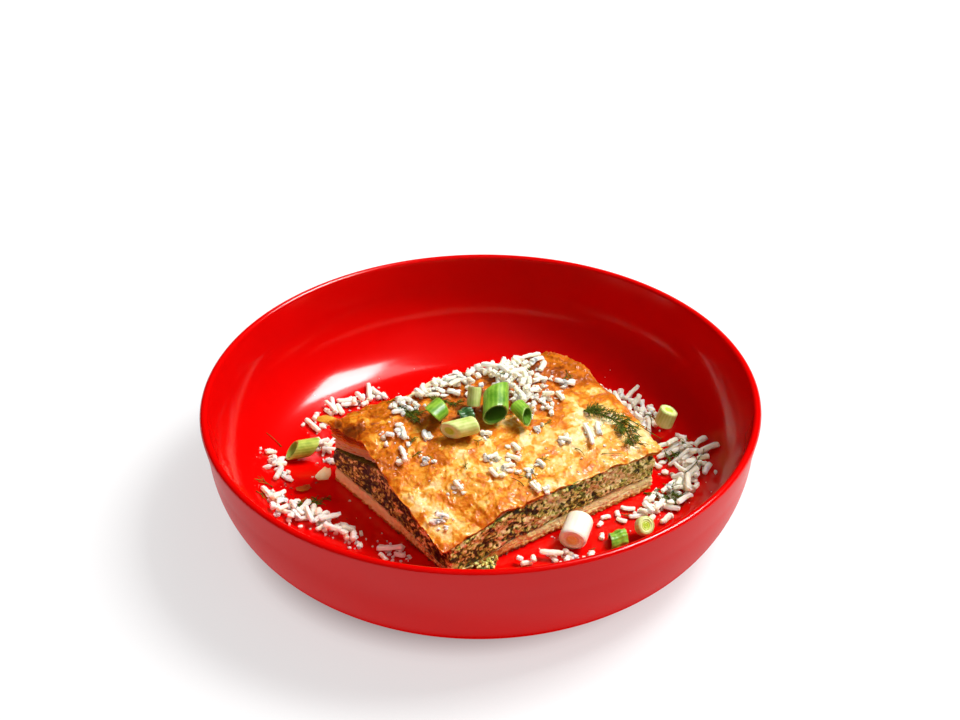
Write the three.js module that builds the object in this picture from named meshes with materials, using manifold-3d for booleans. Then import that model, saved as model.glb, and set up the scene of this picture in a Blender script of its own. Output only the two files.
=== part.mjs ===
// Spanakopita served in a low red bowl: a square-cut piece of spinach and feta pie under
// flaky pastry, with grated white cheese, cut spring onion and dill over it and round it.
// Millimetres, +Z up. The origin is on the table, under the middle of the bowl, and the
// pie's front corner points to -Y.

import * as THREE from 'three';
import { mergeVertices } from 'three/addons/utils/BufferGeometryUtils.js';
import Module from 'manifold-3d';

const wasm = await Module();
wasm.setup();

// Bowl: outside radius and height of the rounded lip, wall, knee of the curved side, foot.
const rimRadius = 115;
const rimHeight = 53;
const wallThickness = 3.2;
const wallDraft = THREE.MathUtils.degToRad(9);
const kneeHeight = 41;
const outerFlatRadius = 82.8;
const innerFlatRadius = 78.9;
const undersideHeight = 2;
const floorTop = 6.5;
const recessHeight = 3;
const footInnerRadius = 62;
const footOuterRadius = 69.5;
const footBevel = 1;
const bowlSegments = 48;
const arcSteps = 6;
const lipSteps = 3;

// Pie: the corners of its cut block on the bowl's floor, seen from above.
const pieFront = [-12.2, -63];
const pieRight = [72.5, -6.6];
const pieBack = [31, 57];
const pieLeft = [-62.2, 1.5];

// Corners of the top pastry, which hangs a little past the block all round.
const crustFront = [-15.6, -65.4];
const crustRight = [77.2, -4.2];
const crustBack = [34, 61.5];
const crustLeft = [-65, 3];

// Height of the top pastry at five even stations along each of its edges.
const crustFrontRightEdge = [22.6, 28.6, 29.6, 29.3, 26.6];
const crustBackRightEdge = [26.6, 31.5, 35, 36.4, 35.6];
const crustFrontLeftEdge = [22.6, 29, 35, 39, 36.4];
const crustBackLeftEdge = [36.4, 38, 38, 37.5, 35.6];
const crustFlattening = 1.6;
const crustThickness = 3.2;
const looseLeavesAtLeft = 9.6;
const looseLeavesReach = 31;
const thinTipAtFront = 1.5;
const thinTipReach = 12;

// Relief of the top pastry: its depth, its waves along the two sides, and a shift.
const crustBroadWave = { depth: 1.5, along: 9, across: 7, shift: 0 };
const crustFlakeWave = { depth: 1.6, along: 21, across: 17, shift: 5 };
const crustFlakeSink = 0.4;
const crustRaggedEdge = { depth: 1.3, along: 15, across: 13, shift: 9 };
const crustEdgeDrop = 0.9;
const crustUnderEdge = { depth: 0.35, along: 12, across: 11, shift: 3 };
const crustUnderEdgeReach = 0.72;
const crustBow = 0.6;
const crustLeftSetBack = { depth: 2.2, at: 0.72, reach: 0.16, fade: 0.25 };
const crustRoundedCorner = { pull: 3.4, from: 1.82 };

// Bottom pastry: height of its top, which sinks towards the front corner.
const bottomPastryTop = 14.4;
const bottomPastrySink = 4.6;
const bottomPastrySinkReach = 26;
const bottomPastryWave = { depth: 0.8, along: 7, across: 6, shift: 20 };
const bottomPastryRaggedEdge = { depth: 0.014, along: 16, across: 14, shift: 40 };
const bottomPastryFlare = { height: 1.4, scale: 1.012 };
const bottomPastryPinch = { share: 0.55, scale: 0.992 };
const bottomPastryFootScale = 0.995;

// Filling: its cut sides are crumbly, in bands at these shares of its height.
const fillingBands = [0.2, 0.5, 0.8];
const fillingCrumbs = { depth: 0.034, along: 26, across: 22, shift: 0 };
const fillingBandShift = 5.1;
const fillingBulge = 0.0034;

// Counts of cells along the pie's front-right and front-left sides.
const flatCells = [10, 8];
const sideCells = [20, 16];
const crustCells = [26, 21];

// Pieces that touch keep this much room, and curved bowl facets a little more.
const gap = 0.3;
const bowlClearance = 0.45;
const crustFacetRoom = 0.75;
const heapFloorRoom = 0.25;
const heapTopRoom = 1.6;

// Grated cheese: soft rods with five sides, and the low core of a heap under them.
const shredRadius = 1.15;
const shredSides = 5;
const shredRadiusSpread = 0.15;
const shredBend = 0.12;
const bentFrom = 7.5;
const shortestShred = 4.5;
const shredLengthSpread = 6;
const highestLift = 0.8;
const cellLength = 8;
const heapRows = 4;
const heapRim = 0.5;
const heapCoreSink = 0.6;
const heapBumps = { depth: 1.2, length: 3 };
const heapWobble = { depth: 0.5, along: 9 };
const heapEndShare = 0.12;
const heapTopShare = 0.94;
const shredSpread = 0.8;
const routeEnds = 0.04;
const shredSink = 0.4;

const seed = 20417;

// Plain maths

const lerp = THREE.MathUtils.lerp;
const clamp = THREE.MathUtils.clamp;
const smoothstep = THREE.MathUtils.smoothstep;

function seededRandom(start) {
  const factor = 1664525;
  const addend = 1013904223;
  const range = 2 ** 32;
  let state = start >>> 0;
  return () => {
    state = (Math.imul(state, factor) + addend) >>> 0;
    return state / range;
  };
}

// A fixed value from 0 to 1 for each whole number pair.
function latticeValue(i, j) {
  const strides = [127.1, 311.7];
  const stretch = 43758.5453;
  const wave = Math.sin(i * strides[0] + j * strides[1]) * stretch;
  return wave - Math.floor(wave);
}

// Smooth value noise from 0 to 1, with one bump per unit.
function noise(x, y) {
  const i = Math.floor(x);
  const j = Math.floor(y);
  const u = smoothstep(x - i, 0, 1);
  const v = smoothstep(y - j, 0, 1);
  const low = lerp(latticeValue(i, j), latticeValue(i + 1, j), u);
  const high = lerp(latticeValue(i, j + 1), latticeValue(i + 1, j + 1), u);
  return lerp(low, high, v);
}

// Relief about nought over s and t, each from 0 to 1.
function waved({ depth, along, across, shift }, s, t) {
  return depth * (noise(s * along, t * across + shift) - 0.5);
}

// Height along an edge from evenly spaced stations, by a Catmull-Rom curve.
function alongStations(stations, k) {
  const last = stations.length - 1;
  const place = clamp(k, 0, 1) * last;
  const i = Math.min(Math.floor(place), last - 1);
  const w = place - i;
  const a = stations[Math.max(i - 1, 0)];
  const b = stations[i];
  const c = stations[i + 1];
  const d = stations[Math.min(i + 2, last)];
  return b + 0.5 * w * (c - a + w * (2 * a - 5 * b + 4 * c - d + w * (3 * (b - c) + d - a)));
}

function bilinear(front, right, back, left, s, t) {
  return [0, 1].map((axis) => lerp(
    lerp(front[axis], right[axis], s),
    lerp(left[axis], back[axis], s),
    t,
  ));
}

// Bowl surfaces

const outerKneeRadius = rimRadius - Math.tan(wallDraft) * (rimHeight - kneeHeight);
const innerRimRadius = rimRadius - wallThickness;
const innerKneeRadius = innerRimRadius - Math.tan(wallDraft) * (rimHeight - kneeHeight);

function bowlInnerHeight(radius) {
  if (radius <= innerFlatRadius) return floorTop;
  if (radius >= innerKneeRadius) {
    return kneeHeight + (radius - innerKneeRadius) / Math.tan(wallDraft);
  }
  const across = (radius - innerFlatRadius) / (innerKneeRadius - innerFlatRadius);
  return kneeHeight - (kneeHeight - floorTop) * Math.sqrt(1 - across * across);
}

// Height at which a round piece of the given radius lies on the bowl's inside.
function bowlRest(x, y, pieceRadius) {
  const radius = Math.hypot(x, y);
  const probe = 0.5;
  const slope = (bowlInnerHeight(radius + probe) - bowlInnerHeight(radius)) / probe;
  return bowlInnerHeight(radius) + (pieceRadius + bowlClearance) * Math.hypot(1, slope);
}

// Pie surfaces. s runs from the front corner to the right one, t from front to left.

function pieOutline(s, t) {
  return bilinear(pieFront, pieRight, pieBack, pieLeft, s, t);
}

// The same outline drawn larger or smaller about the middle of the block.
function grownOutline(s, t, scale) {
  const [cx, cy] = pieOutline(0.5, 0.5);
  const [x, y] = pieOutline(s, t);
  return [cx + (x - cx) * scale, cy + (y - cy) * scale];
}

function distanceInPlan(s, t, corner) {
  const [x, y] = pieOutline(s, t);
  return Math.hypot(x - corner[0], y - corner[1]);
}

function bell(distance, reach) {
  return Math.exp(-((distance / reach) ** 2));
}

// How far the leaves of the top pastry have parted: level near the left corner, then falling.
function partedLeaves(s, t) {
  const reach = distanceInPlan(s, t, pieLeft) / looseLeavesReach;
  return looseLeavesAtLeft * Math.exp(-(reach ** 4));
}

function crustHeight(s, t) {
  const frontRight = alongStations(crustFrontRightEdge, s);
  const backLeft = alongStations(crustBackLeftEdge, s);
  const frontLeft = alongStations(crustFrontLeftEdge, t);
  const backRight = alongStations(crustBackRightEdge, t);
  const corners = lerp(
    lerp(crustFrontRightEdge[0], crustBackRightEdge[0], s),
    lerp(crustBackLeftEdge[0], crustBackLeftEdge[4], s),
    t,
  );
  const flattening = crustFlattening * 16 * s * (1 - s) * t * (1 - t);
  return lerp(frontRight, backLeft, t) + lerp(frontLeft, backRight, s) - corners - flattening;
}

// The top pastry is thickest at the left corner, where its leaves have parted.
function fillingHeight(s, t) {
  const tip = thinTipAtFront * bell(distanceInPlan(s, t, pieFront), thinTipReach);
  return crustHeight(s, t) - crustThickness - partedLeaves(s, t) + tip;
}

function bottomPastryHeight(s, t) {
  const sink = bottomPastrySink * bell(distanceInPlan(s, t, pieFront), bottomPastrySinkReach);
  return bottomPastryTop - sink + waved(bottomPastryWave, s, t);
}

// The top pastry bows out at the back right, is set back beside its left corner, and its
// back corner is rounded off.
function crustOutline(s, t) {
  const { depth, at, reach, fade } = crustLeftSetBack;
  const bow = crustBow * 4 * t * (1 - t) * smoothstep(s, 0.6, 1);
  const setBack = depth * bell(t - at, reach) * (1 - smoothstep(s, 0, fade));
  const pull = crustRoundedCorner.pull * smoothstep(s + t, crustRoundedCorner.from, 2);
  const [x, y] = bilinear(crustFront, crustRight, crustBack, crustLeft, s, t);
  return [x + bow + setBack - pull, y + 0.7 * bow + 0.8 * setBack - pull];
}

// Where s and t lie under a point of the plan, found by a few Newton steps.
function crustCoordinates(x, y) {
  const step = 0.001;
  let s = 0.5;
  let t = 0.5;
  for (let turn = 0; turn < 8; turn += 1) {
    const here = crustOutline(s, t);
    const alongS = crustOutline(s + step, t).map((value, k) => (value - here[k]) / step);
    const alongT = crustOutline(s, t + step).map((value, k) => (value - here[k]) / step);
    const determinant = alongS[0] * alongT[1] - alongT[0] * alongS[1];
    const dx = x - here[0];
    const dy = y - here[1];
    s += (dx * alongT[1] - dy * alongT[0]) / determinant;
    t += (alongS[0] * dy - alongS[1] * dx) / determinant;
  }
  return [clamp(s, 0, 1), clamp(t, 0, 1)];
}

// Positive outside the pie's block on the floor.
function distanceOutsidePie(x, y) {
  const corners = [pieFront, pieRight, pieBack, pieLeft];
  let outside = -Infinity;
  corners.forEach((corner, k) => {
    const next = corners[(k + 1) % corners.length];
    const dx = next[0] - corner[0];
    const dy = next[1] - corner[1];
    const away = ((x - corner[0]) * dy - (y - corner[1]) * dx) / Math.hypot(dx, dy);
    outside = Math.max(outside, away);
  });
  return outside;
}

// Closed bodies of sheets and rings

class Body {
  positions = [];
  indices = [];

  addPoint(point) {
    this.positions.push(...point);
    return this.positions.length / 3 - 1;
  }

  // A sheet of cells over s and t, and the loop of its border.
  addSheet(columns, rows, place, facesUp) {
    const rowsOfPoints = [];
    for (let j = 0; j <= rows; j += 1) {
      const row = [];
      for (let i = 0; i <= columns; i += 1) row.push(this.addPoint(place(i / columns, j / rows)));
      rowsOfPoints.push(row);
    }
    for (let j = 0; j < rows; j += 1) {
      for (let i = 0; i < columns; i += 1) {
        const a = rowsOfPoints[j][i];
        const b = rowsOfPoints[j][i + 1];
        const c = rowsOfPoints[j + 1][i + 1];
        const d = rowsOfPoints[j + 1][i];
        if (facesUp) this.indices.push(a, b, c, a, c, d);
        else this.indices.push(a, c, b, a, d, c);
      }
    }
    return border(columns, rows).map(([i, j]) => rowsOfPoints[j][i]);
  }

  addRing(columns, rows, place) {
    return border(columns, rows).map(([i, j]) => this.addPoint(place(i / columns, j / rows)));
  }

  // Joins a lower loop to an upper one, whatever the counts of their points.
  bridge(lower, upper) {
    let i = 0;
    let j = 0;
    while (i < lower.length || j < upper.length) {
      const low = lower[i % lower.length];
      const high = upper[j % upper.length];
      const lowIsBehind = (i + 0.5) / lower.length <= (j + 0.5) / upper.length;
      if (j === upper.length || (i < lower.length && lowIsBehind)) {
        i += 1;
        this.indices.push(low, lower[i % lower.length], high);
      } else {
        j += 1;
        this.indices.push(low, upper[j % upper.length], high);
      }
    }
  }

  geometry() {
    const geometry = new THREE.BufferGeometry();
    geometry.setAttribute('position', new THREE.Float32BufferAttribute(this.positions, 3));
    geometry.setIndex(this.indices);
    return geometry;
  }
}

function border(columns, rows) {
  const walk = [];
  for (let i = 0; i < columns; i += 1) walk.push([i, 0]);
  for (let j = 0; j < rows; j += 1) walk.push([columns, j]);
  for (let i = columns; i > 0; i -= 1) walk.push([i, rows]);
  for (let j = rows; j > 0; j -= 1) walk.push([0, j]);
  return walk;
}

function asSolid(geometry) {
  const bare = geometry.clone();
  bare.deleteAttribute('normal');
  bare.deleteAttribute('uv');
  const merged = mergeVertices(bare);
  return new wasm.Manifold(new wasm.Mesh({
    numProp: 3,
    vertProperties: new Float32Array(merged.attributes.position.array),
    triVerts: new Uint32Array(merged.index.array),
  }));
}

// Joins pieces to a core. Loose scraps and sealed hollows are dropped.
function fuse(core, pieces) {
  let whole = asSolid(core);
  pieces.forEach((piece) => {
    whole = whole.add(asSolid(piece));
  });
  const [largest] = whole.decompose().sort((a, b) => b.volume() - a.volume());
  const mesh = largest.getMesh();
  const geometry = new THREE.BufferGeometry();
  geometry.setAttribute('position', new THREE.BufferAttribute(mesh.vertProperties, 3));
  geometry.setIndex(new THREE.BufferAttribute(mesh.triVerts, 1));
  return geometry;
}

// Materials and the finished group

const part = new THREE.Group();

function addNode(name, geometry, color, roughness) {
  const shown = geometry.index ? geometry.toNonIndexed() : geometry;
  shown.deleteAttribute('normal');
  shown.computeVertexNormals();
  const material = new THREE.MeshStandardMaterial({ color, roughness, metalness: 0 });
  const mesh = new THREE.Mesh(shown, material);
  mesh.name = name;
  part.add(mesh);
}

const bowlRed = 0xd8100c;
const crustGold = 0xd9963e;
const fillingGreen = 0x5d5a34;
const pastryCream = 0xe2c08a;
const cheeseWhite = 0xf2ece0;
const onionGreen = 0x7fb13c;
const onionPale = 0xd9e3a2;
const onionWhite = 0xefe9cf;
const dillGreen = 0x2f5426;

// Bowl: one turned body with a curved side, a rounded lip and a low foot ring.

function bowlGeometry() {
  const profile = [
    [0, recessHeight],
    [footInnerRadius - footBevel, recessHeight],
    [footInnerRadius, 0],
    [footOuterRadius, 0],
    [footOuterRadius + footBevel, undersideHeight],
  ];
  const arc = (flatRadius, kneeRadius, lowHeight, k) => {
    const turn = (k / arcSteps) * (Math.PI / 2);
    return [
      flatRadius + (kneeRadius - flatRadius) * Math.sin(turn),
      kneeHeight - (kneeHeight - lowHeight) * Math.cos(turn),
    ];
  };
  for (let k = 0; k <= arcSteps; k += 1) {
    profile.push(arc(outerFlatRadius, outerKneeRadius, undersideHeight, k));
  }
  const lipRadius = wallThickness / 2;
  for (let k = 0; k <= lipSteps; k += 1) {
    const turn = (k / lipSteps) * Math.PI;
    profile.push([
      rimRadius - lipRadius + lipRadius * Math.cos(turn),
      rimHeight + lipRadius * Math.sin(turn),
    ]);
  }
  for (let k = arcSteps; k >= 0; k -= 1) {
    profile.push(arc(innerFlatRadius, innerKneeRadius, floorTop, k));
  }
  profile.push([0, floorTop]);
  const points = profile.map(([radius, height]) => new THREE.Vector2(radius, height));
  return new THREE.LatheGeometry(points, bowlSegments).rotateX(Math.PI / 2);
}

// Shreds: grated rods with a slight bend.

function shredGeometry(start, middle, end, radius, steps) {
  const section = new THREE.Shape();
  for (let k = 0; k < shredSides; k += 1) {
    const turn = (k / shredSides) * 2 * Math.PI;
    const x = radius * Math.cos(turn);
    const y = radius * Math.sin(turn);
    if (k === 0) section.moveTo(x, y);
    else section.lineTo(x, y);
  }
  section.closePath();
  const extrudePath = new THREE.QuadraticBezierCurve3(start, middle, end);
  return new THREE.ExtrudeGeometry(section, { extrudePath, steps, curveSegments: 1 });
}

// A shred laid on a surface: rest gives the height of its middle line there, and clear
// says whether it may lie there. It returns null where it may not.
function laidShred(x, y, turn, length, radius, rest, clear, lift = 0) {
  const reach = length / 2;
  const dx = Math.cos(turn) * reach;
  const dy = Math.sin(turn) * reach;
  const places = [-1, -0.5, 0, 0.5, 1].map((k) => [x + k * dx, y + k * dy]);
  if (!places.every(([px, py]) => clear(px, py, radius))) return null;
  const heights = places.map(([px, py]) => rest(px, py, radius) + lift);
  const bend = shredBend * length * Math.sin(turn * 3 + x);
  const start = new THREE.Vector3(places[0][0], places[0][1], Math.max(heights[0], heights[1]));
  const end = new THREE.Vector3(places[4][0], places[4][1], Math.max(heights[4], heights[3]));
  const middle = new THREE.Vector3(x - Math.sin(turn) * bend, y + Math.cos(turn) * bend, 0);
  middle.z = Math.max(2 * Math.max(...heights) - (start.z + end.z) / 2, heights[2]);
  const steps = length > bentFrom ? 2 : 1;
  return shredGeometry(start, middle, end, radius, steps);
}

// Toppings that lie on the pie or in the bowl, kept free of shreds: x, y, radius.
const keptFree = [];

function isFree(x, y, radius) {
  return keptFree.every(([px, py, pr]) => Math.hypot(x - px, y - py) > pr + radius);
}

// Ridges of grated cheese: a route across the plan, with the half width and the depth.

const routeSamples = 60;

class Ridge {
  constructor({ route, halfWidths, depth }, floor) {
    this.curve = new THREE.CatmullRomCurve3(
      route.map(([x, y]) => new THREE.Vector3(x, y, 0)),
    );
    this.halfWidths = halfWidths;
    this.depth = depth;
    this.floor = floor;
    this.samples = this.curve.getPoints(routeSamples);
  }

  halfWidth(u) {
    return alongStations(this.halfWidths, u);
  }

  place(u, v) {
    const point = this.curve.getPoint(u);
    const tangent = this.curve.getTangent(u);
    const wobble = 1 + heapWobble.depth * (noise(u * heapWobble.along + point.x, v) - 0.5);
    const taper = Math.sqrt(Math.max(1 - (2 * u - 1) ** 4, heapEndShare));
    const across = v * this.halfWidth(u) * wobble * taper;
    return [point.x - tangent.y * across, point.y + tangent.x * across];
  }

  // Depth of cheese over a point of the plan.
  depthAt(x, y) {
    let best = 0;
    this.samples.forEach((sample, k) => {
      const u = k / (this.samples.length - 1);
      const away = Math.hypot(x - sample.x, y - sample.y) / this.halfWidth(u);
      const taper = 1 - (2 * u - 1) ** 4;
      if (away < 1) best = Math.max(best, this.depth * Math.sqrt(1 - away * away) * taper);
    });
    return best;
  }

  addTo(body) {
    const columns = Math.max(4, Math.round(this.curve.getLength() / cellLength));
    const bumps = (x, y) => heapBumps.depth * noise(x / heapBumps.length, y / heapBumps.length);
    const low = (u, w) => {
      const [x, y] = this.place(u, 2 * w - 1);
      return [x, y, this.floor(x, y, 0)];
    };
    const high = (u, w) => {
      const [x, y] = this.place(u, heapTopShare * (2 * w - 1));
      const core = Math.max(this.depthAt(x, y) - heapCoreSink, 0);
      return [x, y, this.floor(x, y, 0) + heapRim + core + bumps(x, y)];
    };
    const lower = body.addSheet(columns, heapRows, low, false);
    const upper = body.addSheet(columns, heapRows, high, true);
    body.bridge(lower, upper);
  }
}

function heapDepthAt(ridges, x, y) {
  return Math.max(0, ...ridges.map((ridge) => ridge.depthAt(x, y)));
}

function heapGeometry(ridges, floor, count, random, clear) {
  const cores = ridges.map((ridge) => {
    const body = new Body();
    ridge.addTo(body);
    return body.geometry();
  });
  const topOf = (x, y, radius) => {
    const depth = heapDepthAt(ridges, x, y);
    return floor(x, y, radius) + Math.max(depth - shredSink * radius, 0);
  };
  const pieces = [];
  const lengths = ridges.map((ridge) => ridge.curve.getLength());
  const total = lengths.reduce((sum, length) => sum + length, 0);
  ridges.forEach((ridge, k) => {
    const share = Math.round((count * lengths[k]) / total);
    for (let n = 0; n < share; n += 1) {
      const u = clamp((n + random()) / share, routeEnds, 1 - routeEnds);
      const v = shredSpread * (2 * random() - 1);
      const [x, y] = ridge.place(u, v);
      const length = shortestShred + shredLengthSpread * random() ** 1.5;
      const turn = random() * Math.PI;
      const radius = shredRadius * (1 + shredRadiusSpread * (2 * random() - 1));
      const lift = highestLift * random();
      const piece = laidShred(x, y, turn, length, radius, topOf, clear, lift);
      if (piece) pieces.push(piece);
    }
  });
  return fuse(cores[0], [...cores.slice(1), ...pieces]);
}

// Spring onion: cut tubes of leaf and stem.

const tubeSides = 10;
const solidEndShare = 0.86;
const solidEndRound = 1;

// A tube along +X with slanted ends. slants give how far each end leans per unit of height.
function onionTube({ radius, bore, length, slants = [0, 0], flatten = 1 }) {
  const half = length / 2;
  const hollow = [[radius, -half], [radius, half], [bore, half], [bore, -half], [radius, -half]];
  const filled = [
    [0, -half],
    [radius * solidEndShare, -half],
    [radius, -half + solidEndRound],
    [radius, half - solidEndRound],
    [radius * solidEndShare, half],
    [0, half],
  ];
  const points = (bore > 0 ? hollow : filled).map(([r, h]) => new THREE.Vector2(r, h));
  const geometry = new THREE.LatheGeometry(points, tubeSides).rotateZ(-Math.PI / 2);
  const position = geometry.attributes.position;
  for (let k = 0; k < position.count; k += 1) {
    const x = position.getX(k);
    const z = position.getZ(k);
    const slant = x > 0 ? slants[1] : slants[0];
    position.setX(k, x + slant * z);
    position.setZ(k, z * flatten);
  }
  return geometry;
}

// Turns a piece about its middle: heading in the plan, then how far its +X end is raised.
function posed(geometry, [x, y], heading, pitch) {
  geometry.rotateY(-THREE.MathUtils.degToRad(pitch));
  geometry.rotateZ(THREE.MathUtils.degToRad(heading));
  return geometry.translate(x, y, 0);
}

// A curled leaf: an arc of wall drawn along +X, both faces split alike.
const curlCells = [2, 8];

function leafCurl({ radius, wall, length, arc, slant = 0 }) {
  const body = new Body();
  const place = (r) => (u, w) => {
    const angle = (w - 0.5) * THREE.MathUtils.degToRad(arc);
    const y = r * Math.sin(angle);
    const z = r * Math.cos(angle) - radius;
    return [(u - 0.5) * length + slant * y, y, z];
  };
  const inner = body.addSheet(...curlCells, place(radius - wall), false);
  const outer = body.addSheet(...curlCells, place(radius), true);
  body.bridge(inner, outer);
  return body.geometry();
}

// Dill: a thin stem with finer threads on both sides, each a tapering prism.

const threadSteps = 2;
const threadSides = 3;
const threadTaper = [0.5, 0.3];
const stemPieces = 2;
const stemOverlap = 0.06;
const stemRise = 0.3;
const threadRise = 0.6;
const threadShare = 0.75;
const dillRoom = 0.35;

function threadGeometry(from, to, rise, thickness) {
  const body = new Body();
  const heading = Math.atan2(to[1] - from[1], to[0] - from[0]);
  const loops = [];
  for (let k = 0; k <= threadSteps; k += 1) {
    const u = k / threadSteps;
    const x = lerp(from[0], to[0], u);
    const y = lerp(from[1], to[1], u);
    const z = lerp(from[2], to[2], u) + rise * 4 * u * (1 - u);
    const radius = thickness * lerp(...threadTaper, u);
    const loop = [];
    for (let n = 0; n < threadSides; n += 1) {
      const turn = ((n + 0.5) / threadSides) * 2 * Math.PI;
      const across = radius * Math.cos(turn);
      loop.push(body.addPoint([
        x - Math.sin(heading) * across,
        y + Math.cos(heading) * across,
        z + radius * Math.sin(turn),
      ]));
    }
    loops.push(loop);
  }
  for (let k = 0; k < threadSteps; k += 1) body.bridge(loops[k], loops[k + 1]);
  const [first, last] = [loops[0], loops[threadSteps]];
  body.indices.push(first[0], first[2], first[1]);
  body.indices.push(last[0], last[1], last[2]);
  return body.geometry();
}

function dillGeometry({ route, threads, threadLength, thickness, rest }, random) {
  const curve = new THREE.CatmullRomCurve3(route.map(([x, y]) => new THREE.Vector3(x, y, 0)));
  const lift = thickness * threadTaper[0] + dillRoom;
  const at = (u) => {
    const point = curve.getPoint(u);
    return [point.x, point.y, rest(point.x, point.y, 0) + lift];
  };
  const pieces = [];
  for (let k = 0; k < stemPieces; k += 1) {
    const from = at(Math.max(k / stemPieces - stemOverlap, 0));
    pieces.push(threadGeometry(from, at((k + 1) / stemPieces), stemRise, thickness));
  }
  for (let k = 0; k < threads; k += 1) {
    const u = (k + 0.7) / threads;
    const from = at(u);
    const tangent = curve.getTangent(u);
    const side = k % 2 === 0 ? 1 : -1;
    const spread = side * (0.7 + 0.5 * random());
    const reach = threadLength * (0.6 + 0.6 * random());
    const turn = Math.atan2(tangent.y, tangent.x) + spread;
    const x = from[0] + reach * Math.cos(turn);
    const y = from[1] + reach * Math.sin(turn);
    const to = [x, y, Math.max(rest(x, y, 0) + lift, from[2])];
    pieces.push(threadGeometry(from, to, threadRise, thickness * threadShare));
  }
  return fuse(pieces[0], pieces.slice(1));
}

// Supports for toppings

const coveredByHeap = [];

// The crust's relief is flattened where a heap of cheese covers it.
function crustRelief(s, t) {
  const [x, y] = crustOutline(s, t);
  const covered = coveredByHeap.some((ridge) => ridge.depthAt(x, y) > 0);
  if (covered) return 0;
  const flakes = Math.abs(waved(crustFlakeWave, s, t)) - crustFlakeSink;
  return waved(crustBroadWave, s, t) + flakes;
}

function smoothCrust(x, y) {
  const [s, t] = crustCoordinates(x, y);
  return crustHeight(s, t);
}

function reliefCrust(x, y) {
  const [s, t] = crustCoordinates(x, y);
  return crustHeight(s, t) + crustRelief(s, t);
}

function onCrust(x, y, radius) {
  return Math.max(smoothCrust(x, y), reliefCrust(x, y)) + radius + crustFacetRoom;
}

function onSmoothCrust(x, y, radius) {
  return smoothCrust(x, y) + radius + gap + heapFloorRoom;
}

// Heaps of cheese, each one node.

const heapOnPie = [
  {
    route: [[-37, 6], [-24, 16], [-9, 27], [6, 37], [20, 43], [29, 44]],
    halfWidths: [3, 5, 7, 8, 8, 5],
    depth: 3.4,
  },
  { route: [[18, 43], [14, 30], [17, 16], [18, 4]], halfWidths: [10, 12, 8, 4], depth: 4.2 },
];
const heapRight = [
  {
    route: [[48, 67], [60, 58], [72, 45], [82, 28], [90, 7], [86, -9], [75, -20], [63, -29]],
    halfWidths: [3.5, 5, 6.5, 8, 9, 8, 6, 4],
    depth: 4.2,
  },
];
const heapLeftBack = [
  {
    route: [[-46, 64], [-54, 61], [-63, 55], [-70, 48], [-77, 39]],
    halfWidths: [2, 3, 3.5, 3.5, 2.5],
    depth: 2,
  },
];
const heapLeft = [
  { route: [[-91, 17], [-90, 7], [-82, 3]], halfWidths: [2.5, 3.5, 2.5], depth: 2 },
];
const heapLeftCorner = [
  { route: [[-72, 27], [-68, 21], [-67, 13]], halfWidths: [3, 4, 3], depth: 2.4 },
];
const heapLeftFront = [
  {
    route: [[-88, -10], [-84, -19], [-75, -25], [-65, -29], [-56, -36], [-51, -43]],
    halfWidths: [2.5, 5, 5, 4, 3, 2.5],
    depth: 2.4,
  },
];
const heapFrontLeft = [
  { route: [[-41, -44], [-34, -48], [-26, -52]], halfWidths: [2.5, 3.5, 3], depth: 2.2 },
];
const heapFront = [
  { route: [[26, -50], [34, -53], [44, -51]], halfWidths: [2, 2.4, 2], depth: 1.8 },
];

// Pie layers

function bottomPastryGeometry() {
  const body = new Body();
  const [columns, rows] = flatCells;
  const ragged = (s, t) => 1 + waved(bottomPastryRaggedEdge, s, t);
  const underside = (s, t) => [...grownOutline(s, t, bottomPastryFootScale), floorTop + gap];
  const flared = (s, t) => [
    ...grownOutline(s, t, bottomPastryFlare.scale * ragged(s, t)),
    floorTop + bottomPastryFlare.height,
  ];
  const pinched = (s, t) => [
    ...grownOutline(s, t, bottomPastryPinch.scale * ragged(s, t)),
    lerp(floorTop, bottomPastryHeight(s, t), bottomPastryPinch.share),
  ];
  const topFace = (s, t) => [...pieOutline(s, t), bottomPastryHeight(s, t) - gap / 2];
  const lower = body.addSheet(columns, rows, underside, false);
  const flareRing = body.addRing(...sideCells, flared);
  const pinchRing = body.addRing(columns, rows, pinched);
  const upper = body.addSheet(columns, rows, topFace, true);
  body.bridge(lower, flareRing);
  body.bridge(flareRing, pinchRing);
  body.bridge(pinchRing, upper);
  return body.geometry();
}

function fillingGeometry() {
  const body = new Body();
  const [columns, rows] = flatCells;
  const lowFace = (s, t) => [...pieOutline(s, t), bottomPastryHeight(s, t) + gap / 2];
  const topFace = (s, t) => [...pieOutline(s, t), fillingHeight(s, t) - gap / 2];
  const crumbly = (share) => (s, t) => {
    const crumbs = { ...fillingCrumbs, shift: share * fillingBandShift };
    const scale = 1 + fillingBulge + waved(crumbs, s, t);
    const height = lerp(bottomPastryHeight(s, t), fillingHeight(s, t), share);
    return [...grownOutline(s, t, scale), height];
  };
  const lower = body.addSheet(columns, rows, lowFace, false);
  const loops = fillingBands.map((share) => body.addRing(...sideCells, crumbly(share)));
  const upper = body.addSheet(columns, rows, topFace, true);
  const stack = [lower, ...loops, upper];
  for (let k = 1; k < stack.length; k += 1) body.bridge(stack[k - 1], stack[k]);
  return body.geometry();
}

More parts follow.
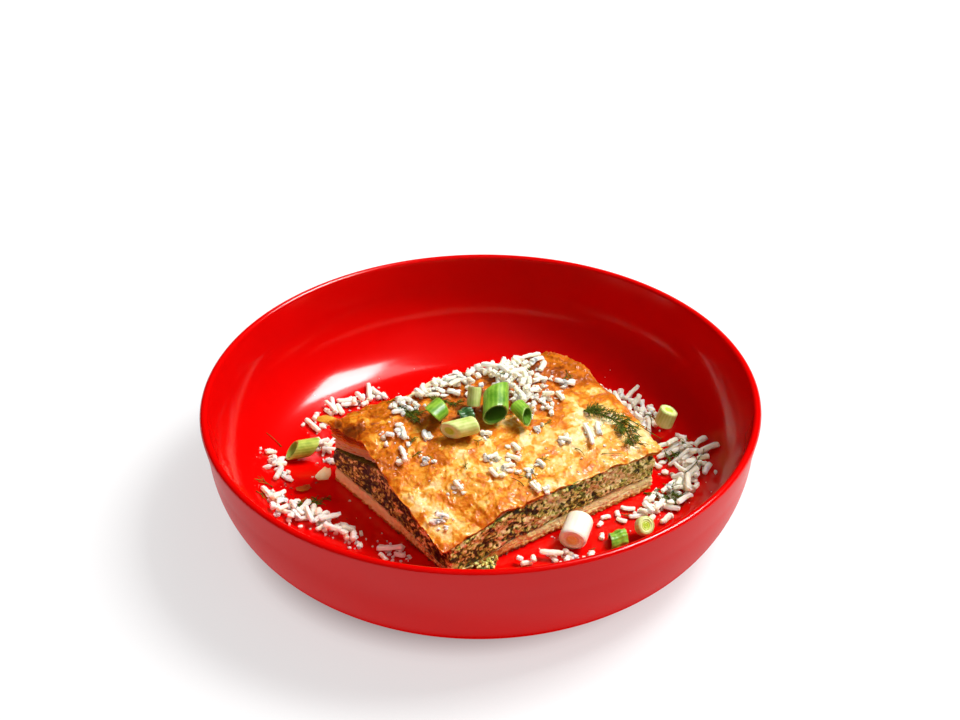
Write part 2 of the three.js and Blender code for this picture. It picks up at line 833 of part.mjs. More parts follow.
function crustGeometry() {
  const body = new Body();
  const onBorder = (s, t) => s === 0 || s === 1 || t === 0 || t === 1;
  const raggedOutline = (s, t) => {
    const [x, y] = crustOutline(s, t);
    if (!onBorder(s, t)) return [x, y];
    const ragged = waved(crustRaggedEdge, s, t);
    return [x + ragged * (s - 0.5), y + ragged * (t - 0.5)];
  };
  const lowFace = (s, t) => [...pieOutline(s, t), fillingHeight(s, t) + gap / 2];
  const underEdge = (s, t) => {
    const [x, y] = raggedOutline(s, t);
    const [px, py] = pieOutline(s, t);
    const leaves = partedLeaves(s, t) + crustThickness;
    const rise = leaves * (crustUnderEdge.depth / 2 + waved(crustUnderEdge, s, t));
    return [
      lerp(px, x, crustUnderEdgeReach),
      lerp(py, y, crustUnderEdgeReach),
      fillingHeight(s, t) + gap + rise,
    ];
  };
  const topFace = (s, t) => {
    const edgeDrop = onBorder(s, t) ? crustEdgeDrop : 0;
    return [...raggedOutline(s, t), crustHeight(s, t) + crustRelief(s, t) - edgeDrop];
  };
  const lower = body.addSheet(...flatCells, lowFace, false);
  const edge = body.addRing(...flatCells, underEdge);
  const upper = body.addSheet(...crustCells, topFace, true);
  body.bridge(lower, edge);
  body.bridge(edge, upper);
  return body.geometry();
}

// Loose shreds that are fused to the crust: a middle, a spread, and how many.
const crustShreds = [
  { at: [9, -22], spread: 6, count: 5 },
  { at: [-31, -15], spread: 7, count: 3 },
  { at: [46, -4], spread: 4, count: 2 },
  { at: [22, -31], spread: 6, count: 3 },
  { at: [-16, -51], spread: 2, count: 1 },
  { at: [36, 19], spread: 6, count: 3 },
  { at: [-9, -40], spread: 2, count: 1 },
];

const sunkShare = 0.35;
const roomBesideToppings = 0.6;
const shortestLoose = 3;
const looseLengthSpread = 5;

function crustWithShreds(random) {
  const pieces = [];
  const sunk = (x, y, radius) => reliefCrust(x, y) + sunkShare * radius;
  const farFromHeaps = (x, y, radius) => (
    isFree(x, y, radius + roomBesideToppings) && heapDepthAt(coveredByHeap, x, y) === 0
  );
  crustShreds.forEach(({ at, spread, count }) => {
    for (let k = 0; k < count; k += 1) {
      const x = at[0] + spread * (2 * random() - 1);
      const y = at[1] + spread * (2 * random() - 1);
      const turn = random() * Math.PI;
      const length = shortestLoose + looseLengthSpread * random();
      const piece = laidShred(x, y, turn, length, shredRadius, sunk, farFromHeaps);
      if (piece) pieces.push(piece);
    }
  });
  return fuse(crustGeometry(), pieces);
}

// Spring onion pieces: where each lies, its heading and its size.

const onionPieces = [
  {
    name: 'onion_tube_large',
    at: [6.5, 4.6],
    heading: -92,
    pitch: -12,
    color: onionGreen,
    onPie: true,
    tube: { radius: 5.2, bore: 4.2, length: 16, slants: [0.2, -0.25], flatten: 0.9 },
  },
  {
    name: 'onion_tube_small',
    at: [16.9, 0.6],
    heading: -58,
    pitch: -8,
    color: onionGreen,
    onPie: true,
    tube: { radius: 3.4, bore: 2.6, length: 9, slants: [0, -0.6], flatten: 0.8 },
  },
  {
    name: 'onion_tube_pale',
    at: [-2.6, 8.2],
    heading: 80,
    pitch: 64,
    color: onionPale,
    onPie: true,
    tube: { radius: 3, bore: 1.6, length: 8, slants: [0, 0.15] },
  },
  {
    name: 'onion_leaf_dark',
    at: [-6.4, 0.2],
    heading: 20,
    pitch: 8,
    color: dillGreen,
    onPie: true,
    curl: { radius: 3.2, wall: 0.8, length: 6, arc: 190 },
  },
  {
    name: 'onion_half_green',
    at: [-18, -2],
    heading: -128,
    pitch: -6,
    color: onionGreen,
    onPie: true,
    tube: { radius: 4.6, bore: 3, length: 7.5, slants: [0, 0.5], flatten: 0.9 },
  },
  {
    name: 'onion_slice_pale',
    at: [-8.6, -11.3],
    heading: -162,
    pitch: -3,
    color: onionPale,
    onPie: true,
    tube: { radius: 4.3, bore: 0, length: 13, flatten: 0.9 },
  },
  {
    name: 'onion_bowl_left',
    at: [-78, 17],
    heading: 14,
    pitch: 0,
    color: onionGreen,
    onPie: false,
    tube: { radius: 3.9, bore: 2.9, length: 9.5, slants: [0.75, 0.75], flatten: 0.95 },
  },
  {
    name: 'onion_bowl_right',
    at: [82, 27.5],
    heading: 8,
    pitch: 72,
    color: onionPale,
    onPie: false,
    tube: { radius: 4.3, bore: 0, length: 8, flatten: 0.9 },
  },
  {
    name: 'onion_bowl_white',
    at: [38.2, -42],
    heading: -108,
    pitch: -4,
    color: onionWhite,
    onPie: false,
    tube: { radius: 5.5, bore: 0, length: 13 },
  },
  {
    name: 'onion_bowl_leaf',
    at: [55.4, -42],
    heading: 25,
    pitch: 0,
    color: onionGreen,
    onPie: false,
    curl: { radius: 3.8, wall: 0.9, length: 7.5, arc: 200, slant: 0.3 },
  },
  {
    name: 'onion_bowl_ring',
    at: [66.2, -39],
    heading: -70,
    pitch: 30,
    color: onionPale,
    onPie: false,
    tube: { radius: 4.2, bore: 2.2, length: 5.5 },
  },
];

// Dill sprigs: where each runs across the plan.

const dillSprigs = [
  {
    name: 'dill_right', onPie: true, threads: 9, threadLength: 6, thickness: 1,
    route: [[44, 10.6], [53, 8.8], [60, 4], [64, -7]],
  },
  {
    name: 'dill_left', onPie: true, threads: 5, threadLength: 5, thickness: 0.8,
    route: [[-37, 6], [-31, 4], [-25.5, -1]],
  },
  {
    name: 'dill_middle', onPie: true, threads: 5, threadLength: 4, thickness: 0.8,
    route: [[-21, 9.5], [-16, 12], [-11, 10.5]],
  },
  {
    name: 'dill_bowl_rim', onPie: false, threads: 4, threadLength: 4, thickness: 1.5,
    route: [[80.5, 12.7], [89, 12.4], [98, 9]],
  },
  {
    name: 'dill_bowl_right', onPie: false, threads: 5, threadLength: 5, thickness: 0.9,
    route: [[69, -10.5], [75.5, -13.5], [82, -20]],
  },
  {
    name: 'dill_bowl_left', onPie: false, threads: 4, threadLength: 4, thickness: 0.9,
    route: [[-77.5, -17], [-72, -16], [-66.5, -12]],
  },
];

// Building

const random = seededRandom(seed);

const asRidges = (rows, floor) => rows.map((row) => new Ridge(row, floor));
const pieRidges = asRidges(heapOnPie, onSmoothCrust);
coveredByHeap.push(...pieRidges);
const bowlHeaps = [
  ['cheese_right', heapRight, 26],
  ['cheese_left_back', heapLeftBack, 5],
  ['cheese_left', heapLeft, 4],
  ['cheese_left_corner', heapLeftCorner, 4],
  ['cheese_left_front', heapLeftFront, 8],
  ['cheese_front_left', heapFrontLeft, 4],
  ['cheese_front', heapFront, 3],
].map(([name, rows, count]) => ({ name, count, ridges: asRidges(rows, bowlRest) }));

function supportHeight(x, y, onPie) {
  if (onPie) return onCrust(x, y, 0) + heapDepthAt(pieRidges, x, y);
  const ridges = bowlHeaps.flatMap((heap) => heap.ridges);
  const depth = heapDepthAt(ridges, x, y);
  return bowlRest(x, y, 0) + (depth > 0 ? depth + heapTopRoom : 0);
}

// Lowers a piece until its lowest clearance over what lies under it is the gap.
function settled(geometry, onPie) {
  const position = geometry.attributes.position;
  let lift = -Infinity;
  for (let k = 0; k < position.count; k += 1) {
    const under = supportHeight(position.getX(k), position.getY(k), onPie);
    lift = Math.max(lift, under + gap - position.getZ(k));
  }
  return geometry.translate(0, 0, lift);
}

const onionRoughness = 0.45;
const dillRoughness = 0.55;
const cheeseRoughness = 0.6;
const onionReachShare = 0.9;

onionPieces.forEach(({ name, at, heading, pitch, color, onPie, tube, curl }) => {
  const shape = tube ? onionTube(tube) : leafCurl(curl);
  const geometry = settled(posed(shape, at, heading, pitch), onPie);
  const size = tube ?? curl;
  keptFree.push([...at, Math.hypot(size.length / 2, size.radius) * onionReachShare]);
  addNode(name, geometry, color, onionRoughness);
});

dillSprigs.forEach(({ name, route, threads, threadLength, thickness, onPie }) => {
  const rest = (x, y) => supportHeight(x, y, onPie);
  const sprig = { route, threads, threadLength, thickness, rest };
  route.forEach(([x, y]) => keptFree.push([x, y, threadLength]));
  addNode(name, dillGeometry(sprig, random), dillGreen, dillRoughness);
});

const roomBesidePie = 1.6;
const shredsOnPie = 26;
const clearInBowl = (x, y, radius) => (
  distanceOutsidePie(x, y) > radius + roomBesidePie && isFree(x, y, radius)
);

addNode('bowl', bowlGeometry(), bowlRed, 0.15);
addNode('pastry_bottom', bottomPastryGeometry(), pastryCream, 0.6);
addNode('filling', fillingGeometry(), fillingGreen, 0.7);
addNode('pastry_top', crustWithShreds(random), crustGold, 0.45);
const cheeseOnPie = heapGeometry(pieRidges, onSmoothCrust, shredsOnPie, random, isFree);
addNode('cheese_on_pie', cheeseOnPie, cheeseWhite, cheeseRoughness);
bowlHeaps.forEach(({ name, count, ridges }) => {
  const heap = heapGeometry(ridges, bowlRest, count, random, clearInBowl);
  addNode(name, heap, cheeseWhite, cheeseRoughness);
});

export default part;
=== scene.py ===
import math

import bmesh
import bpy
import numpy as np
from mathutils import Matrix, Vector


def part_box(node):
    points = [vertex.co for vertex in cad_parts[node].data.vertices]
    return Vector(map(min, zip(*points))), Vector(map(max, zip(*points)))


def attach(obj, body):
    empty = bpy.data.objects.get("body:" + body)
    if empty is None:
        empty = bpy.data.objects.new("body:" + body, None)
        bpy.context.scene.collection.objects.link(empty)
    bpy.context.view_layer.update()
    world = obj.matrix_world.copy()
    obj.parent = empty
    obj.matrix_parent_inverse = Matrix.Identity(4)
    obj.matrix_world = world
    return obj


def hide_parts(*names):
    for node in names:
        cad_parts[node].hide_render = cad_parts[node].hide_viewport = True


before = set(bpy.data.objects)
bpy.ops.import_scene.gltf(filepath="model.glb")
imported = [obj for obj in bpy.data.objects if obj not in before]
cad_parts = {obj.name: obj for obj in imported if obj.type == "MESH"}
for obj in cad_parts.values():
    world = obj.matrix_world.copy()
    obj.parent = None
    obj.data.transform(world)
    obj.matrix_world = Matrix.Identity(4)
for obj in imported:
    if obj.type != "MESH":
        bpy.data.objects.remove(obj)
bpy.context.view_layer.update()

# Bowl
# A low round serving bowl in glossy red glaze, turned in one piece: a flat floor, a curved
# side, a leaning wall with a rounded lip, and a foot ring under it. Sizes are in millimetres.

MM = 0.001
RIM_RADIUS = 115.0
LIP_CENTRE = 52.78
WALL = 3.2
DRAFT = math.tan(math.radians(9))
KNEE = 41.0
RIM_HEIGHT = 53.0
OUTER_FLAT = 82.8
INNER_FLAT = 78.9
UNDERSIDE = 2.0
FLOOR = 6.5
RECESS = 3.0
OUTER_KNEE = RIM_RADIUS - DRAFT * (RIM_HEIGHT - KNEE)
INNER_KNEE = RIM_RADIUS - WALL - DRAFT * (RIM_HEIGHT - KNEE)


def srgb(red, green, blue):
    """A colour as it is read off a screen, 0 to 255, turned into amounts of light."""
    levels = [level / 255 for level in (red, green, blue)]
    linear = [v / 12.92 if v < 0.04045 else ((v + 0.055) / 1.055) ** 2.4 for v in levels]
    return (*linear, 1.0)


def join(*axes):
    """Coordinates, or rows of them, joined into points."""
    return np.stack(np.broadcast_arrays(*axes), -1)


class Form:
    """Points and faces of one piece, in millimetres, with named tones for its points."""

    def __init__(self):
        self.points = []
        self.faces = []
        self.tones = {}
        self.count = 0

    def add(self, points, faces, **tones):
        points = np.asarray(points, float).reshape(-1, 3)
        self.points.append(points)
        self.faces.append(np.asarray(faces, int) + self.count)
        for name, values in tones.items():
            spread = np.broadcast_to(np.asarray(values, float), (len(points),))
            self.tones.setdefault(name, []).append(spread)
        self.count += len(points)

    def patch(self, grid, wrap=False, turned=False, **tones):
        """Rows of points joined by four-sided faces. wrap joins each row's end to its start."""
        rows, columns = grid.shape[:2]
        index = np.arange(rows * columns).reshape(rows, columns)
        if wrap:
            index = np.hstack([index, index[:, :1]])
        low, high = index[:-1], index[1:]
        faces = np.stack([low[:, :-1], low[:, 1:], high[:, 1:], high[:, :-1]], -1).reshape(-1, 4)
        spread = {name: np.broadcast_to(v, (rows, columns)).ravel() for name, v in tones.items()}
        self.add(grid, faces[:, ::-1] if turned else faces, **spread)

    def lid(self, ring, turned=False, **tones):
        """A fan that closes a ring of points round its middle."""
        count = len(ring)
        here = np.arange(count)
        faces = np.stack([here, np.roll(here, -1), np.full(count, count)], -1)
        self.add(np.vstack([ring, ring.mean(0)]), faces[:, ::-1] if turned else faces, **tones)

    def piece(self, name, finish, slot, *nodes, soft_edges=True):
        points = np.vstack(self.points) * MM
        corners = np.concatenate([faces.ravel() for faces in self.faces])
        sizes = np.concatenate([np.full(len(faces), faces.shape[1]) for faces in self.faces])
        mesh = bpy.data.meshes.new(name)
        mesh.vertices.add(len(points))
        mesh.vertices.foreach_set("co", points.ravel())
        mesh.loops.add(len(corners))
        mesh.loops.foreach_set("vertex_index", corners)
        mesh.polygons.add(len(sizes))
        mesh.polygons.foreach_set("loop_start", np.cumsum(sizes) - sizes)
        mesh.update(calc_edges=True)
        mesh.polygons.foreach_set("use_smooth", np.full(len(sizes), soft_edges))
        for tone, parts in self.tones.items():
            layer = mesh.attributes.new(tone, "FLOAT", "POINT")
            layer.data.foreach_set("value", np.concatenate(parts))
        mesh.materials.append(finish.material)
        made = bpy.data.objects.new(name, mesh)
        bpy.context.collection.objects.link(made)
        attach(made, "root")
        if nodes:
            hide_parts(*nodes)
        return made


class Wire:
    """A value or a colour inside a finish. Arithmetic on a value adds its Math nodes."""

    def __init__(self, finish, socket):
        self.finish = finish
        self.socket = socket

    def maths(self, operation, *others, first=None):
        terms = [self if first is None else first, *others]
        settings = {"operation": operation}
        return self.finish.node("ShaderNodeMath", settings, dict(enumerate(terms)))

    def __add__(self, other):
        return self.maths("ADD", other)

    __radd__ = __add__

    def __sub__(self, other):
        return self.maths("SUBTRACT", other)

    def __rsub__(self, other):
        return self.maths("SUBTRACT", self, first=other)

    def __mul__(self, other):
        return self.maths("MULTIPLY", other)

    __rmul__ = __mul__

    def between(self, low, high):
        """0 below low, 1 above high, smooth between."""
        settings = {"interpolation_type": "SMOOTHSTEP"}
        sockets = {"Value": self, "From Min": low, "From Max": high}
        return self.finish.node("ShaderNodeMapRange", settings, sockets)


class Finish:
    """A material. node() adds any node; shade() feeds the sockets of its shader."""

    def __init__(self, name):
        self.material = bpy.data.materials.new(name)
        self.material.use_nodes = True
        self.tree = self.material.node_tree
        self.shader = self.tree.nodes["Principled BSDF"]

    def feed(self, socket, value):
        if isinstance(value, Wire):
            self.tree.links.new(value.socket, socket)
        else:
            socket.default_value = value

    def node(self, kind, settings=None, sockets=None, output=0):
        made = self.tree.nodes.new(kind)
        for name, value in (settings or {}).items():
            if name == "stops":
                self.set_stops(made.color_ramp.elements, value)
            else:
                setattr(made, name, value)
        for key, value in (sockets or {}).items():
            self.feed(made.inputs[key], value)
        return Wire(self, made.outputs[output])

    def set_stops(self, elements, stops):
        while len(elements) < len(stops):
            elements.new(0.5)
        for element, (place, color) in zip(elements, stops):
            element.position = place
            element.color = color

    def place(self):
        return self.node("ShaderNodeTexCoord", output="Object")

    def tone(self, name):
        return self.node("ShaderNodeAttribute", {"attribute_name": name}, output="Fac")

    def grain(self, size, detail=3.0):
        """Noise from 0 to 1 with lumps of the given size in millimetres."""
        sockets = {"Vector": self.place(), "Scale": 1 / (size * MM), "Detail": detail}
        return self.node("ShaderNodeTexNoise", sockets=sockets)

    def ramp(self, value, *stops):
        return self.node("ShaderNodeValToRGB", {"stops": stops}, {"Fac": value})

    def mix(self, share, low, high):
        return self.node("ShaderNodeMix", {"data_type": "RGBA"}, {0: share, 6: low, 7: high}, 2)

    def bump(self, height, depth):
        """Fine relief: depth is in millimetres."""
        return self.node("ShaderNodeBump", sockets={"Height": height, "Distance": depth * MM})

    def shade(self, **sockets):
        for name, value in sockets.items():
            self.feed(self.shader.inputs[name.replace("_", " ")], value)


def quarter(flat, knee, low, steps):
    """The curved side of the bowl, from the flat floor up to the knee."""
    turn = np.linspace(0, math.pi / 2, steps)
    return join(flat + (knee - flat) * np.sin(turn), KNEE - (KNEE - low) * np.cos(turn))


def bowl_profile():
    lip_turn = np.linspace(0, math.pi, 15)
    round_off = WALL / 2
    lip = join(
        RIM_RADIUS - round_off + round_off * np.cos(lip_turn),
        LIP_CENTRE + round_off * np.sin(lip_turn),
    )
    under = [(30, RECESS), (60.4, RECESS), (61, RECESS), (61.2, 2.6), (61.7, 0.3), (62, 0), (62.4, 0)]
    foot = [(69.1, 0), (69.5, 0), (69.7, 0.3), (70.3, 1.7), (70.6, UNDERSIDE), (72, UNDERSIDE)]
    outer = quarter(OUTER_FLAT, OUTER_KNEE, UNDERSIDE, 28)
    inner = quarter(INNER_FLAT, INNER_KNEE, FLOOR, 28)[::-1]
    return np.vstack([under, foot, outer, lip, inner, [(60, FLOOR), (30, FLOOR)]])


def make_bowl():
    profile = bowl_profile()
    turn = np.linspace(0, 2 * math.pi, 192, endpoint=False)
    radius, height = profile[:, :1], profile[:, 1:]
    grid = join(radius * np.cos(turn), radius * np.sin(turn), height)
    low_outside, knee_outside, lip_inside = 27, 38, 52
    rows = np.arange(len(profile))
    pooled = np.interp(rows, (low_outside, knee_outside, lip_inside), (0.0, 0.6, 1.0))
    form = Form()
    form.patch(grid, wrap=True, pooled=pooled[:, None])
    form.lid(grid[0], turned=True, pooled=0.0)
    form.lid(grid[-1], pooled=1.0)
    return form


glaze = Finish("red_glaze")
smudges = glaze.grain(18, detail=4)
from_axis = glaze.node("ShaderNodeVectorMath", {"operation": "LENGTH"}, {0: glaze.place()}, "Value")
turned_lines = glaze.node("ShaderNodeTexNoise", {"noise_dimensions": "1D"}, {"W": from_axis, "Scale": 300})
glaze.shade(
    Base_Color=glaze.mix(smudges, srgb(212, 2, 1), srgb(222, 4, 3)),
    Roughness=0.4,
    Normal=glaze.bump(glaze.grain(35, detail=1) + 0.16 * turned_lines, 0.05),
    Specular_IOR_Level=0.0,
    Coat_Weight=0.85 * glaze.tone("pooled") * (1.1 - 0.2 * smudges),
    Coat_Roughness=0.14,
)
make_bowl().piece("bowl_glazed", glaze, "bowl_red", "bowl")

# Bottom pastry
# The leaves of dough under the filling, baked pale and pressed together. They are cut square
# with the pie, and the lowest ones are browned and stand out a little at the foot.

PIE = {"front": (-12.2, -63), "right": (72.5, -6.6), "back": (31, 57), "left": (-62.2, 1.5)}
CRUST = {"front": (-15.6, -65.4), "right": (77.2, -4.2), "back": (34, 61.5), "left": (-65, 3)}
GAP = 0.3
PASTRY_LEVEL = 14.4
SEAM_DROP = 1.4


def lerp(a, b, k):
    return a + (b - a) * k


def smooth(value, low, high):
    k = np.clip((value - low) / (high - low), 0, 1)
    return k * k * (3 - 2 * k)


def lattice(i, j, k=0.0):
    """A fixed value from 0 to 1 for each point of a whole-number grid."""
    wave = np.sin(i * 127.1 + j * 311.7 + k * 74.7) * 43758.5453
    return wave - np.floor(wave)


def hills(x, y, z=0.0):
    """Smooth noise from 0 to 1 with one hill to a unit."""
    x, y, z = np.broadcast_arrays(x, y, z)
    i, j, k = np.floor(x), np.floor(y), np.floor(z)
    u, v, w = (smooth(a - b, 0, 1) for a, b in ((x, i), (y, j), (z, k)))

    def level(layer):
        low = lerp(lattice(i, j, layer), lattice(i + 1, j, layer), u)
        high = lerp(lattice(i, j + 1, layer), lattice(i + 1, j + 1, layer), u)
        return lerp(low, high, v)

    return lerp(level(k), level(k + 1), w)


def rough(x, y, z=0.0, octaves=4, fade=0.5):
    """Hills on hills, about 0 to 1."""
    total, weight, scale = 0.0, 0.0, 1.0
    for turn in range(octaves):
        total = total + fade ** turn * hills(x * scale + 9.1 * turn, y * scale + 4.3 * turn, z * scale)
        weight += fade ** turn
        scale *= 2.03
    return total / weight


def wobble(*place, **detail):
    """The same hills, half of them above nothing and half below."""
    return rough(*place, **detail) - 0.5


def bilinear(corners, s, t):
    front, right, back, left = (corners[name] for name in ("front", "right", "back", "left"))
    return [
        lerp(lerp(front[axis], right[axis], s), lerp(left[axis], back[axis], s), t)
        for axis in (0, 1)
    ]


def bell(distance, reach):
    return np.exp(-((distance / reach) ** 2))


def from_corner(s, t, name):
    x, y = bilinear(PIE, s, t)
    return np.hypot(x - PIE[name][0], y - PIE[name][1])


def bottom_top(s, t):
    sink = 4.6 * bell(from_corner(s, t, "front"), 26)
    return PASTRY_LEVEL - sink + 0.8 * (hills(s * 7, t * 6 + 20) - 0.5)


def seam(s, t):
    """Where the filling, pressed over the bottom pastry, meets it on the cut sides."""
    return bottom_top(s, t) - SEAM_DROP - 0.9 * wobble(s * 26, t * 20, 6.0, octaves=2)


def round_pie(per_long, per_short):
    """s and t of points round the pie's edge: front, right, back, left."""
    long = np.linspace(0, 1, per_long, endpoint=False)
    short = np.linspace(0, 1, per_short, endpoint=False)
    s = np.concatenate([long, np.ones(per_short), 1 - long, np.zeros(per_short)])
    t = np.concatenate([np.zeros(per_long), short, np.ones(per_long), 1 - short])
    return s, t


def grown(s, t, outward):
    """The pie's outline moved out by so many millimetres, away from its middle."""
    x, y = bilinear(PIE, s, t)
    middle = bilinear(PIE, 0.5, 0.5)
    away = np.hypot(x - middle[0], y - middle[1])
    return x + outward * (x - middle[0]) / away, y + outward * (y - middle[1]) / away


def stacked(height, outward, s, t):
    """Rows of points up the cut sides. height and outward have a row for each level."""
    return join(*grown(s, t, outward), height)


def make_bottom_pastry(leaves=2, rows=37):
    s, t = round_pie(290, 230)
    k = np.linspace(0, 1, rows)[:, None]
    low = FLOOR + GAP
    height = lerp(low, seam(s, t) - GAP / 2, k)
    along = np.arange(len(s)) * 0.46
    place = k * leaves + 0.5 * (hills(along * 0.12, 3.0) - 0.5)
    leaf = np.floor(place)
    groove = np.abs(2 * (place - leaf) - 1) ** 6
    ragged = 1.2 * wobble(along * 0.16, leaf * 7.3)
    x, y = grown(s, t, 0.0)
    crumbly = wobble(x / 1.1, y / 1.1, height / 1.1, octaves=3)
    crisp = 1 - smooth(k + 0.4 * wobble(along / 3, 8.0), 0.12, 0.38)
    outward = 0.5 * bell(k - 0.5, 0.35) + ragged * lerp(0.4, 1.0, k) - 0.25 * groove
    outward = outward + crisp * (0.3 + 2.2 * crumbly) + 0.9 * crumbly
    browning = 0.04 + 0.45 * crisp * (1 + crumbly) + 0.1 * (hills(along * 0.2, leaf) - 0.6)
    browning = browning + 0.6 * bell(from_corner(s, t, "front"), 34) * (1 + 2 * crumbly)
    form = Form()
    sides = stacked(height, outward, s, t)
    form.patch(sides, wrap=True, browning=np.clip(browning, 0, 1))
    form.lid(sides[0], turned=True, browning=0.5)
    inner = [join(*grown(s, t, -inward), seam(s, t) - GAP / 2) for inward in (3, 30)]
    form.patch(np.stack([sides[-1], *inner]), wrap=True, browning=0.1)
    form.lid(inner[-1], browning=0.1)
    return form


pale_dough = Finish("pale_baked_dough")
browned = pale_dough.tone("browning") + 0.25 * (pale_dough.grain(1.1) - 0.5)
pale_dough.shade(
    Base_Color=pale_dough.ramp(
        browned,
        (0.0, srgb(248, 242, 178)),
        (0.3, srgb(240, 218, 132)),
        (0.5, srgb(196, 130, 50)),
        (0.75, srgb(136, 74, 22)),
        (1.0, srgb(80, 40, 12)),
    ),
    Roughness=0.42 + 0.2 * pale_dough.grain(0.9),
    Normal=pale_dough.bump(pale_dough.grain(0.7), 0.12),
    Subsurface_Weight=0.25,
    Subsurface_Radius=(1.0, 0.5, 0.2),
    Subsurface_Scale=0.003,
)
make_bottom_pastry().piece("pastry_bottom_leaves", pale_dough, "pastry_bottom", "pastry_bottom")

# Filling
# Chopped spinach and crumbled cheese, packed between the pastry and cut through on all four
# sides, where wilted dark leaf, olive green and white curds show as rough grains.

CRUST_THICKNESS = 3.2
EDGE_FRONT_RIGHT = (22.6, 28.6, 29.6, 29.3, 26.6)
EDGE_BACK_RIGHT = (26.6, 31.5, 35, 36.4, 35.6)
EDGE_FRONT_LEFT = (22.6, 29, 35, 39, 36.4)
EDGE_BACK_LEFT = (36.4, 38, 38, 37.5, 35.6)


def along_edge(stations, k):
    """A smooth curve through evenly spaced heights."""
    values = np.array(stations, float)
    last = len(values) - 1
    place = np.clip(k, 0, 1) * last
    i = np.minimum(np.floor(place).astype(int), last - 1)
    w = place - i
    a, b = values[np.maximum(i - 1, 0)], values[i]
    c, d = values[i + 1], values[np.minimum(i + 2, last)]
    return b + 0.5 * w * (c - a + w * (2 * a - 5 * b + 4 * c - d + w * (3 * (b - c) + d - a)))


def crust_height(s, t):
    """The top pastry's height before its flakes."""
    corners = lerp(
        lerp(EDGE_FRONT_RIGHT[0], EDGE_BACK_RIGHT[0], s),
        lerp(EDGE_BACK_LEFT[0], EDGE_BACK_LEFT[4], s),
        t,
    )
    lengthwise = lerp(along_edge(EDGE_FRONT_RIGHT, s), along_edge(EDGE_BACK_LEFT, s), t)
    crosswise = lerp(along_edge(EDGE_FRONT_LEFT, t), along_edge(EDGE_BACK_RIGHT, t), s)
    middle_sag = 1.6 * 16 * s * (1 - s) * t * (1 - t)
    return lengthwise + crosswise - corners - middle_sag


def parted(s, t):
    """How far the top leaves have come apart at the left corner."""
    return 9.6 * np.exp(-((from_corner(s, t, "left") / 31) ** 4))


def filling_top(s, t):
    tip = 1.5 * bell(from_corner(s, t, "front"), 12)
    return crust_height(s, t) - CRUST_THICKNESS - parted(s, t) + tip


def grains(x, y, z, size):
    """Packed grains: how near each point is to a grain's middle, and the grain's own number."""
    x, y, z = np.broadcast_arrays(x / size, y / size, z / size)
    i, j, k = np.floor(x), np.floor(y), np.floor(z)
    nearest = np.full(x.shape, 9.0)
    number = np.zeros(x.shape)
    for di in (-1, 0, 1):
        for dj in (-1, 0, 1):
            for dk in (-1, 0, 1):
                a, b, c = i + di, j + dj, k + dk
                px = a + lattice(a, b, c)
                py = b + lattice(a + 11, b, c)
                pz = c + lattice(a, b + 17, c)
                away = (x - px) ** 2 + (y - py) ** 2 + (z - pz) ** 2
                closer = away < nearest
                nearest = np.where(closer, away, nearest)
                number = np.where(closer, lattice(a, b, c + 29), number)
    return 1 - np.sqrt(nearest), number


def make_filling(rows=62):
    s, t = round_pie(330, 270)
    k = np.linspace(0, 1, rows)[:, None]
    low = seam(s, t) + GAP / 2
    up_to_crust = 0.9 * smooth(from_corner(s, t, "left"), 20, 45)
    height = lerp(low, filling_top(s, t) - GAP / 2 + up_to_crust, k)
    x, y = grown(s, t, 0.0)
    x, y, z = np.broadcast_arrays(x, y, height)
    near, number = grains(x, y, z * 1.25, 2.6)
    fine_near, fine_number = grains(x + 40, y, z * 1.15, 1.25)
    lumps = rough(x / 6, y / 6, z / 4, octaves=3)
    crumbly = rough(x / 0.9, y / 0.9, z / 0.9, octaves=2)
    tucked = 0.7 * bell(k, 0.06) + 0.5 * bell(1 - k, 0.05)
    outward = 2.2 * (lumps - 0.5) + 0.55 * near + 0.3 * fine_near + 0.6 * (crumbly - 0.5) - tucked
    right_side, left_side = t < 0.001, s < 0.001
    # More cream on the front-right cut side, more toward the right corner, and a little more low on the
    # left-front side. On the front-right side this is partly curds and partly painted light, since that side
    # faces the lamps.
    curds_and_painted_light = 0.26 * right_side * lerp(0.5, 1.0, s) + 0.08 * bell(k - 0.3, 0.3) * left_side
    patchy = 0.9 * (rough(x / 6, y / 6, z / 4 + 4) - 0.46)
    form = Form()
    # hollow: how deep each point lies between the grains. The colour is darkened there as painted shade.
    tones = {
        "kind": 0.55 * fine_number + 0.2 * number + patchy + curds_and_painted_light,
        "hollow": smooth(1 - near - 0.4 * fine_near - 0.6 * (crumbly - 0.5), 0.35, 1.0),
    }
    hidden = {"kind": 0.45, "hollow": 0.2}
    sides = stacked(height, outward, s, t)
    form.patch(sides, wrap=True, **tones)
    for level, edge, turned in ((height[-1], sides[-1], False), (low, sides[0], True)):
        rings = [edge, *[join(*grown(s, t, -inward), level) for inward in (3, 14, 40)]]
        form.patch(np.stack(rings), wrap=True, turned=turned, **hidden)
        form.lid(rings[-1], turned=turned, **hidden)
    return form


greens = Finish("spinach_and_cheese")
kind = greens.tone("kind") + 0.6 * (greens.grain(0.9, detail=6) - 0.5)
grain_color = greens.ramp(
    kind,
    (0.0, srgb(18, 22, 8)),
    (0.3, srgb(36, 42, 16)),
    (0.42, srgb(76, 88, 26)),
    (0.52, srgb(142, 148, 46)),
    (0.64, srgb(214, 214, 106)),
    (0.85, srgb(250, 246, 178)),
)
greens.shade(
    # The hollows between the grains are mixed toward near black: painted shade.
    Base_Color=greens.mix(0.65 * greens.tone("hollow"), grain_color, srgb(28, 22, 8)),
    Roughness=0.3 + 0.4 * greens.grain(0.8),
    Normal=greens.bump(greens.grain(0.5, detail=4), 0.2),
)
make_filling().piece("filling_grains", greens, "filling", "filling")

# Top pastry
# Thin leaves of buttered dough, baked into one crust. Its upper leaves are torn, puffed and
# wrinkled, gold to brown, and hang a little past the filling, with loose edges under them.

CRUST_LONG = 110
CRUST_SHORT = 84
CRUST_MIDDLE_X = 5


